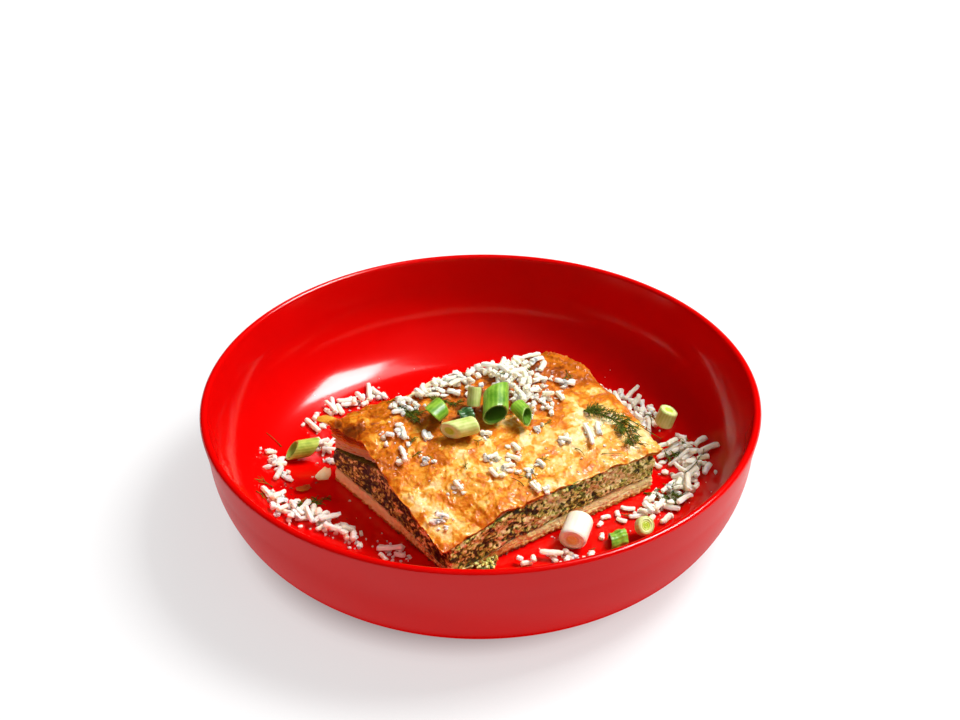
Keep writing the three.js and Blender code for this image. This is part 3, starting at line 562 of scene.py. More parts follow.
def crust_outline(s, t):
    bow = 0.6 * 4 * t * (1 - t) * smooth(s, 0.6, 1)
    set_back = 2.2 * bell(t - 0.72, 0.16) * (1 - smooth(s, 0, 0.25))
    pull = 3.4 * smooth(s + t, 1.82, 2)
    x, y = bilinear(CRUST, s, t)
    return x + bow + set_back - pull, y + 0.7 * bow + 0.8 * set_back - pull


def torn_leaf(x, y, size, seed, edge):
    """One torn leaf of dough: where it lies, and how near its torn edge is."""
    bend_x = x + 3.2 * wobble(x / 5, y / 5, seed)
    bend_y = y + 3.2 * wobble(x / 5 + 31, y / 5, seed)
    field = rough(bend_x / size, bend_y / size, seed + 0.5, octaves=3, fade=0.45)
    lies = smooth(field, edge, edge + 0.3 / size)
    return lies, lies * np.exp(-np.clip(field - edge, 0, 1) * size / 0.7)


def crust_surface(s, t):
    """Height of the finished crust and how brown it is, leaf upon leaf."""
    x, y = crust_outline(s, t)
    height = crust_height(s, t) + 1.3 * (hills(s * 8, t * 6) - 0.5)
    left = 1 - smooth(s + 0.3 * t, 0.28, 0.6)
    right_front = smooth(s, 0.25, 0.55) * (1 - smooth(t, 0.5, 0.8))
    back = smooth(t, 0.5, 0.8) * smooth(s, 0.3, 0.6)
    flaky = np.clip(left + back, 0, 1)

    # Stains of butter and patches of colour, browner toward the back.
    feather = wobble(x / 2.6, y / 2.6, 5.0, octaves=3)
    wander_x = x + 7 * wobble(x / 8, y / 8, 31.0, octaves=3)
    wander_y = y + 7 * wobble(x / 8, y / 8, 37.0, octaves=3)
    broad = rough(wander_x / 15, wander_y / 15, 2.0, octaves=2)
    patchy = rough(wander_x / 6.5, wander_y / 6.5, 22.0, octaves=2)
    soaked = smooth(broad + 0.16 * feather, 0.42, 0.54)
    stained = smooth(patchy + 0.22 * feather, 0.46, 0.54)
    baked_through = smooth(t + 0.3 * (broad - 0.5), 0.18, 0.8)
    streaky = smooth(rough(wander_x / 3.2, wander_y / 3.2, 27.0, octaves=3), 0.46, 0.6)
    stained = stained * (0.55 + 0.45 * smooth(t, 0.1, 0.45))
    brown = 0.05 + 0.1 * soaked + 0.25 * stained + 0.18 * streaky + 0.36 * baked_through
    brown = brown + 0.12 * left + 0.3 * back + 0.06 * right_front + 0.13 * bell(t, 0.12)
    height = height - 0.25 * soaked - 0.2 * stained + 0.8 * wobble(x / 7, y / 7, 3.0, octaves=2)

    # Torn leaves, the large ones first, each with a raised rim.
    shown = 0.55 + 0.55 * flaky
    torn_leaves = ((22, 0.50, 0.36), (14, 0.49, 0.32), (9, 0.51, 0.28), (6, 0.53, 0.25), (4, 0.56, 0.22))
    for number, (size, edge, step) in enumerate(torn_leaves):
        lies, rim = torn_leaf(x, y, size, 3.0 + 5 * number, edge)
        height = height + (step * lies + 0.2 * rim) * shown
        brown = brown + (0.16 * rim - 0.07 * lies) * shown

    # Puffed domes with brown seams between them, and scorched spots.
    near, puff = grains(wander_x, wander_y, 0.0, 8.4)
    dome = smooth(near, 0.1, 0.7) * smooth(puff, 0.3, 0.6)
    height = height + (0.6 * left + 0.4 * back) * dome
    brown = brown + 0.10 * flaky * (1 - smooth(near, 0.05, 0.3)) - 0.10 * flaky * dome * (1.1 - puff)
    scorched = smooth(rough(x / 5, y / 5, 41.0, octaves=4), 0.52, 0.66)

    # Long creases in the smoother right front.
    fold = 0.75 * x + 0.66 * y + 14 * wobble(x / 20, y / 20, 13.0)
    across = 0.66 * x - 0.75 * y + 6 * wobble(x / 9, y / 9, 17.0)
    crease = 1 - smooth(np.abs(wobble(fold / 15, across / 4.2, 7.0, octaves=2)), 0, 0.06)
    height = height + 0.18 * right_front * crease
    brown = brown + 0.09 * right_front * (crease - 0.3)

    # Fine crackle all over, except where the crust folds over its left edge.
    crackle = wobble(x / 1.2, y / 1.2, 11.0, octaves=3)
    folded = bell(s * CRUST_LONG, 3.6)
    height = height + (0.24 + 0.2 * flaky) * crackle * (1 - folded)
    brown = brown + 0.2 * folded * (1 - smooth(t, 0.7, 1)) + 0.2 * crackle
    brown = np.where(brown < 0.45, brown, 0.45 + 0.3 * (1 - np.exp((0.45 - brown) / 0.3)))
    brown = brown + 0.12 * crackle + scorched * (0.03 + 0.22 * smooth(t, 0.5, 0.85))
    return height - 0.5, np.clip(brown, 0, 1)


def crust_edge_drop(s, t):
    """How far the thin leaves at the crust's border droop."""
    rim_distance = np.minimum(np.minimum(s, 1 - s) * CRUST_LONG, np.minimum(t, 1 - t) * CRUST_SHORT)
    along = s * CRUST_LONG + t * CRUST_SHORT
    sag = 0.3 + 1.1 * smooth(rough(along / 6, 3.3, octaves=2), 0.4, 0.75)
    sag = sag + 1.5 * bell(s - 0.58, 0.03) * (t < 0.2)
    return 0.6 * bell(rim_distance, 1.4) + sag * bell(rim_distance, 3.2)


def crust_points(s, t, inward, height, torn=1.0):
    """Points so many millimetres inside the crust's outline, which is ragged where it is torn."""
    x, y = crust_outline(s, t)
    from_middle = x - CRUST_MIDDLE_X
    ragged = 1.2 * wobble(x / 3.5, y / 3.5, 21.0) * torn
    shift = (ragged - inward) / np.hypot(from_middle, y)
    return join(x + from_middle * shift, y + y * shift, height)


def make_crust(long=330, short=270):
    s, t = np.meshgrid(np.linspace(0, 1, long + 1), np.linspace(0, 1, short + 1))
    height, brown = crust_surface(s, t)
    border = np.zeros(s.shape, bool)
    border[[0, -1]] = True
    border[:, [0, -1]] = True
    form = Form()
    form.patch(crust_points(s, t, 0.0, height - crust_edge_drop(s, t), border), browning=brown)

    s, t = round_pie(long, short)
    edge_height, edge_brown = crust_surface(s, t)
    edge_height = edge_height - crust_edge_drop(s, t)
    under = filling_top(s, t) + GAP
    levels = [
        (0.0, edge_height),
        (0.12, edge_height - 0.5),
        (3.0, edge_height - 0.8),
        (3.4, under + 0.2),
        (9.0, under),
        (40.0, under),
    ]
    rings = np.stack([crust_points(s, t, inward, level) for inward, level in levels])
    shade = np.stack([edge_brown + 0.1, edge_brown, *[edge_brown * 0.4] * 4])
    form.patch(rings, wrap=True, turned=True, browning=np.clip(shade, 0, 1))
    form.lid(rings[-1], turned=True, browning=0.2)
    return form


def make_crust_leaves(leaves=8):
    """The loose edges of the leaves between the crust's top and the filling."""
    form = Form()
    root, bend, thick = 8.0, 2.2, 0.3
    s, t = round_pie(230, 190)
    top, brown = crust_surface(s, t)
    top = top - crust_edge_drop(s, t) - 0.6
    under = filling_top(s, t) + GAP + 0.15
    along = np.arange(len(s)) * 0.53
    for leaf in range(leaves):
        share = 0.94 * leaf / (leaves - 1)
        level = lerp(under, top, share) + 0.8 * (leaf > 0) * wobble(along / 12, leaf * 3.1)
        inset = lerp(2.4, 0.3, share) + 2.8 * (rough(along / 6, leaf * 5.7 + 1) - 0.42)
        inset = np.maximum(inset, 0.0)
        tip = level - 0.9 * (rough(along / 7, leaf * 2.3) - 0.2)
        tint = 0.5 * smooth(share, 0.3, 0.9) * (0.6 + brown) + 0.14 * (rough(along / 9, leaf * 4.1) - 0.45)
        tint = np.clip(tint, 0, 1)
        rows = (
            (root, level - thick, tint * 0.5), (inset + bend, level - thick, tint * 0.7),
            (inset + 0.05, tip - thick, tint + 0.12), (inset, tip, tint + 0.12),
            (inset + bend, level, tint * 0.7), (root, level, tint * 0.5),
        )
        rings = np.stack([crust_points(s, t, inward, height) for inward, height, _ in rows])
        form.patch(rings, wrap=True, browning=np.stack([shade for *_, shade in rows]))
    return form


baked = Finish("golden_flaky_crust")
browning = baked.tone("browning") + 0.14 * (baked.grain(1.2, detail=5) - 0.5)
shine = baked.grain(4, detail=3)
baked.shade(
    Base_Color=baked.ramp(
        browning,
        (0.0, srgb(248, 230, 188)),
        (0.2, srgb(244, 208, 138)),
        (0.38, srgb(236, 170, 58)),
        (0.56, srgb(214, 118, 12)),
        (0.76, srgb(168, 78, 6)),
        (1.0, srgb(104, 46, 10)),
    ),
    Roughness=0.55 - 0.3 * shine,
    Coat_Weight=0.45 * shine.between(0.44, 0.6),
    Coat_Roughness=0.12,
    Specular_IOR_Level=0.22,
    Normal=baked.bump(baked.grain(0.8, detail=5), 0.2),
    Subsurface_Weight=0.3,
    Subsurface_Radius=(1.0, 0.42, 0.12),
    Subsurface_Scale=0.003,
)
make_crust().piece("pastry_top_flaky", baked, "pastry_top", "pastry_top")
make_crust_leaves().piece("pastry_top_leaf_edges", baked, "pastry_top", "pastry_top")

# Spring onion
# Cut pieces of leaf and stem: green tubes with a wet ribbed skin and a pale cut rim, pale
# lengths with rings inside, a white end of the stem, and bits of leaf that curl.


def turned_to(points, heading, pitch):
    turn, tilt = math.radians(heading), math.radians(pitch)
    rotation = Matrix.Rotation(turn, 3, "Z") @ Matrix.Rotation(-tilt, 3, "Y")
    return points @ np.array(rotation).T


def onion_length(radius, bore, length, slants=(0, 0), skews=(0, 0), flatten=1.0):
    """Outer skin, two cut ends with rings, and the wall of the bore where there is one."""
    layers = 4
    turn = np.linspace(0, 2 * math.pi, 72, endpoint=False)
    along = np.linspace(-0.5, 0.5, 25)[:, None]
    near_end = np.clip((np.abs(along) - 0.38) / 0.12, 0, 1)
    rounding = 1 - (0.13 if not bore else 0.04) * near_end ** 3
    oval = 1 + 0.05 * np.cos(2 * turn + radius) + 0.02 * np.cos(3 * turn)
    rib = oval + 0.004 * np.cos(13 * turn) + 0.06 * wobble(np.cos(turn) * 1.3 + 5, np.sin(turn) * 1.3)
    outer = radius * rounding * rib
    grids = [(along * length, outer, 0.0, 1.0)]
    inner_end = bore if bore else 0.02 * radius
    for side in (-1, 1):
        k = np.linspace(0, 1, 16)[:, None]
        reach = lerp(outer[0], inner_end, k)
        ring = 0.16 * np.cos(2 * math.pi * layers * k) * np.sin(math.pi * k) ** 0.4
        rise = ring + 0.25 * np.sin(math.pi * np.clip(k * 3, 0, 1)) * (bore == 0)
        x = side * (length / 2 + rise - 0.25)
        grid = (x, reach, k, 0.0)
        grids.append(grid if side > 0 else tuple(np.flipud(g) if np.ndim(g) else g for g in grid))
    if bore:
        grids.append((np.flipud(along) * length, bore * rib, 0.8, 0.0))
    patches = []
    for x, reach, depth, skin in grids:
        y, z = reach * np.cos(turn), reach * np.sin(turn)
        slant = lerp(*slants, np.clip(x / length + 0.5, 0, 1))
        skew = lerp(*skews, np.clip(x / length + 0.5, 0, 1))
        grid = join(x + slant * z + skew * y, y, z * flatten)
        patches.append((grid, dict(depth=depth, skin=skin, around=turn, along=x / length + 0.5)))
    return patches


def onion_curl(radius, wall, length, arc, slant=0.0):
    """A curled bit of leaf: both faces of an arc of wall, and its cut edges."""
    k = np.linspace(-0.5, 0.5, 33)
    along = np.linspace(-0.5, 0.5, 15)[:, None]
    angle = k * math.radians(arc)
    wave = 0.3 * np.sin(along * 9 + k * 5) + 0.22 * np.sin(k * 31) * (0.6 + along)
    faces = []
    for reach in (radius - wall, radius):
        y = (reach + wave) * np.sin(angle)
        z = (reach + wave) * np.cos(angle)
        faces.append(join(along * length + slant * y, y, z))
    inner, outer = faces
    cuts = (
        (inner[:, 0], outer[:, 0]), (outer[:, -1], inner[:, -1]),
        (outer[0], inner[0]), (inner[-1], outer[-1]),
    )
    return [
        (inner[::-1], dict(depth=0.7, skin=0.0, around=angle, along=0.5)),
        (outer, dict(depth=0.0, skin=1.0, around=angle, along=0.5)),
        *[(np.stack(cut), dict(depth=0.5, skin=0.0, around=0.0, along=0.5)) for cut in cuts],
    ]


def onion_piece(node, finish, slot, heading, pitch, patches, wrap=True):
    """Turns the piece as it lies, and sets its middle where the node's middle is."""
    placed = [(turned_to(grid.reshape(-1, 3), heading, pitch).reshape(grid.shape), tones)
              for grid, tones in patches]
    cloud = np.vstack([grid.reshape(-1, 3) for grid, _ in placed])
    low, high = (np.array(corner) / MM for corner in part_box(node))
    shift = (low + high) / 2 - (cloud.min(0) + cloud.max(0)) / 2
    form = Form()
    for grid, tones in placed:
        form.patch(grid + shift, wrap=wrap, **tones)
    form.piece(node + "_fresh", finish, slot, node)
    return cloud + shift


def onion_finish(name, skin_dark, skin_light, cut, core):
    """A veined wet skin, and a cut face that runs from its pale rim to its core."""
    finish = Finish(name)
    around = finish.tone("around")
    lines = (around * 17 + 6 * finish.grain(6)).maths("SINE") * 0.5 + 0.5
    veins = lines * 0.12 + 0.88 * finish.grain(5, detail=3)
    ends = (finish.tone("along") - 0.5).maths("ABSOLUTE").between(0.3, 0.55)
    skin = finish.mix(veins.between(0.25, 0.75), skin_dark, skin_light)
    skin = finish.mix(0.5 * ends, skin, skin_light)
    rings = (finish.tone("depth") * 24).maths("SINE") * 0.5 + 0.5
    inside = finish.mix(finish.tone("depth").between(0.35, 0.6), cut, core)
    ringed = finish.mix(0.1 * rings, inside, skin_light)
    finish.shade(
        Base_Color=finish.mix(finish.tone("skin"), ringed, skin),
        Roughness=0.25 + 0.2 * finish.grain(1.5),
        Normal=finish.bump(0.4 * lines + finish.grain(0.8), 0.05),
        Subsurface_Weight=0.15,
        Subsurface_Radius=(0.4, 0.9, 0.2),
        Subsurface_Scale=0.002,
    )
    return finish


leaf_green = onion_finish(
    "onion_leaf_green", srgb(78, 138, 18), srgb(160, 204, 66), srgb(216, 234, 142), srgb(84, 132, 30),
)
stem_pale = onion_finish(
    "onion_stem_pale", srgb(190, 212, 98), srgb(234, 242, 160), srgb(228, 242, 160), srgb(190, 222, 44),
)
stem_white = onion_finish(
    "onion_stem_white", srgb(248, 240, 212), srgb(253, 250, 234), srgb(250, 242, 200), srgb(240, 206, 92),
)
stem_lime = onion_finish(
    "onion_stem_lime", srgb(128, 168, 36), srgb(196, 218, 96), srgb(226, 234, 160), srgb(150, 186, 60),
)
leaf_dark = onion_finish(
    "onion_leaf_dark", srgb(32, 76, 36), srgb(84, 134, 72), srgb(130, 172, 100), srgb(60, 98, 46),
)

onion_rows = (
    ("onion_tube_large", leaf_green, "onion_green", -92, -12,
     dict(radius=5.2, bore=4.3, length=15, slants=(0.2, -0.25), skews=(-0.5, -0.35), flatten=0.85)),
    ("onion_tube_small", leaf_green, "onion_green", -58, -8,
     dict(radius=3.6, bore=2.8, length=8, slants=(0, -0.6), skews=(0, -0.6), flatten=0.75)),
    ("onion_tube_pale", stem_pale, "onion_pale", 80, 64,
     dict(radius=3, bore=1.6, length=8, slants=(0, 0.15))),
    ("onion_half_green", leaf_green, "onion_green", -128, -6,
     dict(radius=4.8, bore=3, length=6.5, slants=(0, 0.5), skews=(0.3, 0.3), flatten=0.85)),
    ("onion_slice_pale", stem_pale, "onion_pale", -162, -3,
     dict(radius=4.3, bore=0, length=11.5, skews=(-0.2, -0.75), flatten=0.9)),
    ("onion_bowl_left", stem_lime, "onion_green", 14, 0,
     dict(radius=3.9, bore=2.9, length=9.5, slants=(0.75, 0.75), flatten=0.95)),
    ("onion_bowl_right", stem_pale, "onion_pale", 8, 72,
     dict(radius=4.3, bore=0, length=8, flatten=0.9)),
    ("onion_bowl_white", stem_white, "onion_white", -108, -4,
     dict(radius=5.5, bore=0, length=13)),
    ("onion_bowl_ring", stem_pale, "onion_pale", -70, 44,
     dict(radius=3.7, bore=0, length=5)),
)
onion_clouds = [
    onion_piece(node, finish, slot, heading, pitch, onion_length(**sizes))
    for node, finish, slot, heading, pitch, sizes in onion_rows
]
onion_clouds.append(onion_piece(
    "onion_leaf_dark", leaf_dark, "dill", 20, 8, onion_curl(3.2, 0.8, 6, 190), wrap=False,
))
onion_clouds.append(onion_piece(
    "onion_bowl_leaf", leaf_green, "onion_green", 25, 0, onion_curl(3.8, 0.9, 7.5, 200, 0.3),
    wrap=False,
))

# Grated cheese
# Soft white cheese from a coarse grater: short thick shreds and crumbs, heaped over the back
# of the pie and round it in the bowl, each resting on what lies under it.

CELL = 0.5
HALF = 112.0
WALL_LIMIT = 108
chance = np.random.default_rng(20417)


def bowl_inside(radius):
    across = np.clip((radius - INNER_FLAT) / (INNER_KNEE - INNER_FLAT), 0, 1)
    curve = KNEE - (KNEE - FLOOR) * np.sqrt(1 - across * across)
    wall = KNEE + (radius - INNER_KNEE) / DRAFT
    return np.where(radius > INNER_KNEE, wall, curve)


def crust_coordinates(x, y):
    """s and t under points of the plan, by Newton steps."""
    step = 0.001
    s = np.full(np.shape(x), 0.5)
    t = np.full(np.shape(x), 0.5)
    for _ in range(8):
        here = crust_outline(s, t)
        along_s = [(after - now) / step for after, now in zip(crust_outline(s + step, t), here)]
        along_t = [(after - now) / step for after, now in zip(crust_outline(s, t + step), here)]
        size = along_s[0] * along_t[1] - along_t[0] * along_s[1]
        dx, dy = x - here[0], y - here[1]
        s = np.clip(s + (dx * along_t[1] - dy * along_t[0]) / size, -0.5, 1.5)
        t = np.clip(t + (along_s[0] * dy - along_s[1] * dx) / size, -0.5, 1.5)
    return s, t


class Ground:
    """Height of whatever lies in the bowl, cell by cell, as more is laid on it."""

    def __init__(self):
        line = np.arange(-HALF, HALF + CELL, CELL)
        self.x, self.y = np.meshgrid(line, line)
        radius = np.hypot(self.x, self.y)
        self.height = bowl_inside(radius)
        s, t = crust_coordinates(self.x, self.y)
        inside = (s > 0) & (s < 1) & (t > 0) & (t < 1)
        crust, _ = crust_surface(s[inside], t[inside])
        self.height[inside] = crust - crust_edge_drop(s[inside], t[inside])
        self.on_pie = inside
        self.shut = radius > WALL_LIMIT
        self.shut |= (s > -0.02) & (s < 1.02) & (t > -0.025) & (t < 1.025) & ~inside
        self.bare = self.height.copy()

    def cells(self, x, y):
        last = self.height.shape[0] - 1
        column = np.clip(np.round((np.asarray(x) + HALF) / CELL).astype(int), 0, last)
        row = np.clip(np.round((np.asarray(y) + HALF) / CELL).astype(int), 0, last)
        return row, column

    def shut_under(self, cloud, room=0.4):
        """Keeps other things off the ground under a cloud of points."""
        for dx in (-room, 0, room):
            for dy in (-room, 0, room):
                self.shut[self.cells(cloud[:, 0] + dx, cloud[:, 1] + dy)] = True

    def lay(self, x, y, turn, length, radius, room):
        """Rests a shred on its two bearing points. Gives its line, or None where it can't lie."""
        k = np.linspace(-1, 1, 9)
        px = x + k * math.cos(turn) * length / 2
        py = y + k * math.sin(turn) * length / 2
        across = np.array([-0.7, 0, 0.7])[:, None] * radius
        cells = self.cells(px - across * math.sin(turn), py + across * math.cos(turn))
        beside = self.on_pie[cells]
        if self.shut[cells].any() or beside.any() != beside.all():
            return None
        under = self.height[cells].max(0)
        best, slope = under[4], 0.0
        for i in range(4):
            for j in range(5, 9):
                share = -k[i] / (k[j] - k[i])
                middle = lerp(under[i], under[j], share)
                if middle > best:
                    best, slope = middle, (under[j] - under[i]) / (k[j] - k[i])
        line = best + np.clip(slope, -0.35 * length, 0.35 * length) * k
        line = line + 0.6 * max((under - line).max(), 0)
        top = line + 2 * radius
        if (top - self.bare[cells].min(0)).max() > room + 2 * radius:
            return None
        self.height[cells] = np.maximum(self.height[cells], line + 1.8 * radius)
        return join(px, py, line + radius)[[0, 4, 8]]


def tube_sides(rings, sides):
    """Four-sided faces between rings of points that follow one another."""
    here = np.arange(sides)
    after = (here + 1) % sides
    between = np.stack([here, after, after + sides, here + sides], -1)
    return np.concatenate([between + n * sides for n in range(rings - 1)])


def add_each(form, blocks, *face_sets):
    """Adds many things that are made alike, each with a tint of its own."""
    count, size = blocks.shape[:2]
    tint = np.repeat(chance.random(count), size)
    shift = (np.arange(count) * size)[:, None, None]
    start = form.count
    form.add(blocks, (face_sets[0] + shift).reshape(-1, face_sets[0].shape[1]), tint=tint)
    for faces in face_sets[1:]:
        form.faces.append((faces + shift).reshape(-1, faces.shape[1]) + start)


def rods(form, ends, radii, bends):
    """Bent shreds, a little flat and uneven, with blunt broken ends."""
    sides, lumpiness = 6, 0.2
    k = np.array([0.0, 0.05, 0.2, 0.4, 0.6, 0.8, 0.95, 1.0])
    swell = np.array([0.72, 0.95, 1.0, 1.0, 1.0, 1.0, 0.95, 0.72])
    ends = np.asarray(ends)
    count = len(ends)
    start, middle, end = (ends[:, n][:, None] for n in range(3))
    axis = end - start
    length = np.linalg.norm(axis, axis=-1, keepdims=True)
    side = np.cross(axis, [0, 0, 1.0])
    side /= np.linalg.norm(side, axis=-1, keepdims=True)
    up = np.cross(side, axis) / length
    bow = (4 * k * (1 - k))[None, :, None] * side * np.asarray(bends)[:, None, None]
    line = start + axis * k[None, :, None] + bow
    turn = np.linspace(0, 2 * math.pi, sides, endpoint=False)
    reach = np.asarray(radii)[:, None, None] * swell[None, :, None]
    reach = reach * (1 + lumpiness * (2 * chance.random((count, len(k), sides)) - 1))
    flat = chance.uniform(0.7, 1.0, (count, 1, 1))
    ring = (reach * np.cos(turn))[..., None] * side[:, :, None]
    ring = ring + (reach * flat * np.sin(turn))[..., None] * up[:, :, None]
    points = line[:, :, None] + ring
    caps = np.stack([line[:, 0] - axis[:, 0] * 0.02, line[:, -1] + axis[:, 0] * 0.02], 1)
    here = np.arange(sides)
    after = (here + 1) % sides
    last = (len(k) - 1) * sides
    foot, head = len(k) * sides, len(k) * sides + 1
    tips = np.concatenate([
        np.stack([after, here, np.full(sides, foot)], -1),
        np.stack([last + here, last + after, np.full(sides, head)], -1),
    ])
    blocks = np.concatenate([points.reshape(count, -1, 3), caps], 1)
    add_each(form, blocks, tube_sides(len(k), sides), tips)


def crumbs(form, places, sizes):
    """Small uneven lumps, each a ball of points pushed in and out."""
    ball = bpy.data.meshes.new("crumb_ball")
    work = bmesh.new()
    bmesh.ops.create_icosphere(work, subdivisions=1, radius=1)
    work.to_mesh(ball)
    work.free()
    points = np.array([v.co[:] for v in ball.vertices])
    faces = np.array([p.vertices[:] for p in ball.polygons])
    bpy.data.meshes.remove(ball)
    count = len(places)
    seeds = 50 * chance.random((count, 3))
    at = points * 1.1 + seeds[:, None]
    uneven = 0.25 + 1.4 * rough(at[..., 0], at[..., 1], at[..., 2], octaves=2)
    stretch = chance.uniform(0.7, 1.4, (count, 1, 3)) * [1, 1, 0.75]
    lumps = points * uneven[..., None] * stretch * np.asarray(sizes)[:, None, None]
    add_each(form, lumps + np.asarray(places)[:, None], faces)


def plan_line(points, count):
    """So many places along a smooth line over the plan."""
    return join(*[along_edge(values, np.linspace(0, 1, count)) for values in zip(*points)])


class Route:
    """A smooth line over the plan with a half width and a heaped depth along it."""

    LAST = 79

    def __init__(self, points, widths, depth):
        self.line = plan_line(points, self.LAST + 1)
        self.width = along_edge(widths, np.linspace(0, 1, self.LAST + 1))
        self.depth = depth

    def draw(self, spread):
        """A random place along the route, and how high the heap is there."""
        n = chance.integers(1, self.LAST)
        tangent = self.line[n + 1] - self.line[n - 1]
        tangent = tangent / np.hypot(*tangent)
        off = np.clip(chance.normal(0, spread), -1.4, 1.4)
        u = n / self.LAST
        depth = self.depth * math.sqrt(max(1 - off * off, 0)) * (1 - (2 * u - 1) ** 4)
        place = self.line[n] + off * self.width[n] * np.array([-tangent[1], tangent[0]])
        return place + chance.normal(0, 0.7, 2), depth


def heap(ground, routes, shreds, bits, placed=()):
    """Lays shreds and crumbs along routes, one on another, up to the heap's own height."""
    form = Form()
    ends, radii, bends = [], [], []
    area = np.array([route.width.mean() * len(route.line) for route in routes])
    thick, free = 1.1, 3.0
    rows = [(x, y, math.radians(turn), length, thick, free) for x, y, turn, length in placed]
    for _ in range(shreds):
        place, depth = routes[chance.choice(len(routes), p=area / area.sum())].draw(0.55)
        length = 3.4 + 8.0 * chance.random() ** 1.6
        rows.append((*place, chance.random() * math.pi, length, chance.uniform(1.0, 1.4), 0.5 + 1.05 * depth))
    for x, y, turn, length, radius, room in rows:
        laid = ground.lay(x, y, turn, length, radius, room)
        if laid is not None:
            ends.append(laid)
            radii.append(radius)
            bends.append(chance.normal(0, 0.05) * length)
    rods(form, ends, radii, bends)
    spots, sizes = [], []
    for _ in range(bits):
        if routes:
            place, depth = routes[chance.choice(len(routes), p=area / area.sum())].draw(0.7)
        else:
            x, y, turn, length = placed[chance.integers(len(placed))]
            place, depth = np.array([x, y]) + chance.normal(0, 1.7, 2), 0.8
        cell = ground.cells(*place)
        size = 0.5 + 1.3 * chance.random() ** 2
        if not ground.shut[cell] and ground.height[cell] - ground.bare[cell] < 1.0 + depth:
            spots.append([*place, ground.height[cell] + 0.45 * size])
            sizes.append(size)
            ground.height[cell] += 0.8 * size
    crumbs(form, spots, sizes)
    return form


curd = Finish("white_grated_cheese")
curd.shade(
    Base_Color=curd.mix(curd.tone("tint"), srgb(255, 249, 230), srgb(253, 243, 212)),
    Roughness=0.6 + 0.2 * curd.grain(0.8),
    Specular_IOR_Level=0.2,
    Normal=curd.bump(curd.grain(0.5, detail=4), 0.12),
    Subsurface_Weight=0.85,
    Subsurface_Radius=(1.0, 0.85, 0.65),
    Subsurface_Scale=0.0026,
)

ground = Ground()
for cloud in onion_clouds:
    ground.shut_under(cloud)

heap_routes = {
    "cheese_on_pie": (620, 240, (
        Route([[-37, 6], [-24, 16], [-9, 27], [6, 37], [20, 43], [29, 44]], [3, 5, 7, 8, 8, 5], 3.4),
        Route([[18, 43], [14, 30], [17, 16], [18, 4]], [10, 12, 8, 4], 4.2),
    )),
    "cheese_right": (640, 190, (Route(
        [[48, 67], [60, 58], [72, 45], [82, 28], [90, 7], [86, -9], [75, -20], [63, -29]],
        [3.5, 5, 6.5, 8, 9, 8, 6, 4], 4.2,
    ),)),
    "cheese_left_back": (90, 60, (
        Route([[-46, 64], [-54, 61], [-63, 55], [-70, 48], [-77, 39]], [2, 3, 3.5, 3.5, 2.5], 2),
    )),
    "cheese_left": (40, 30, (Route([[-91, 17], [-90, 7], [-82, 3]], [2.5, 3.5, 2.5], 2),)),
    "cheese_left_corner": (45, 30, (Route([[-72, 27], [-68, 21], [-67, 13]], [3, 4, 3], 2.4),)),
    "cheese_left_front": (150, 110, (Route(
        [[-88, -10], [-84, -19], [-75, -25], [-65, -29], [-56, -36], [-51, -43]],
        [2.5, 5, 5, 4, 3, 2.5], 2.4,
    ),)),
    "cheese_front_left": (30, 40, (Route([[-41, -44], [-34, -48], [-26, -52]], [2.5, 3.5, 3], 2.2),)),
    "cheese_front": (24, 22, (Route([[26, -50], [34, -53], [44, -51]], [2, 2.4, 2], 1.8),)),
}
single_shreds = {
    "cheese_right": (
        (51.5, -27.3, 20, 4.2), (56.8, -25.2, 100, 3.6), (58.0, -29.2, 150, 4.5), (48.8, -31.6, 60, 3.0),
        (54.6, -21.2, 140, 5.0), (61.3, -21.3, 170, 6.0), (48.9, -39.7, 80, 3.4), (45.4, -39.7, 160, 3.2),
    ),
    "cheese_front": (
        (45.0, -44.9, 30, 4.0), (41.0, -49.8, 100, 3.4), (28.8, -53.3, 120, 4.0), (17.7, -55.5, 10, 5.0),
        (20.5, -55.2, 100, 3.4), (15.0, -54.9, 150, 2.6),
    ),
}
for node, (shreds, bits, routes) in heap_routes.items():
    form = heap(ground, routes, shreds, bits, single_shreds.get(node, ()))
    form.piece(node + "_shreds", curd, "cheese", node, soft_edges=False)

loose_shreds = (
    (-31.9, -11.2, 101, 6.5), (-31.8, -22.7, 105, 10.0), (-37.4, -12.8, 162, 3.6),
    (-22.5, -24.6, 153, 3.0), (45.0, -5.3, 102, 13.0), (49.6, -1.0, 96, 7.0),
    (35.0, -8.8, 167, 5.5), (37.0, 29.1, 173, 8.8), (14.4, -15.1, 122, 5.5),
    (13.1, -21.4, 146, 6.5), (4.5, -22.1, 28, 5.2), (5.1, -30.9, 128, 5.0),
    (11.3, -26.5, 18, 5.2), (-9.3, -38.2, 131, 5.0), (-15.6, -51.5, 169, 5.2),
    (-14.4, -53.5, 30, 3.6), (21.5, -37.0, 127, 6.0), (26.0, -36.5, 36, 3.1),
    (24.4, -23.1, 135, 4.4), (19.8, -27.9, 178, 2.6), (19.6, -5.6, 159, 5.3),
    (24.0, -3.4, 167, 5.1), (2.2, -8.6, 171, 5.1), (-22.6, -11.6, 108, 5.6),
    (29.1, 16.5, 3, 5.1), (34.1, 18.0, 121, 5.4), (29.4, 10.2, 151, 3.3),
)
loose = heap(ground, (), 0, 200, loose_shreds)
loose.piece("loose_shreds_on_crust", curd, "pastry_top", "pastry_top", soft_edges=False)

# Dill
# Torn sprigs of fresh dill: thin soft stems that fork into threads, and single threads that
# fell over the crust, the cheese and the bowl.


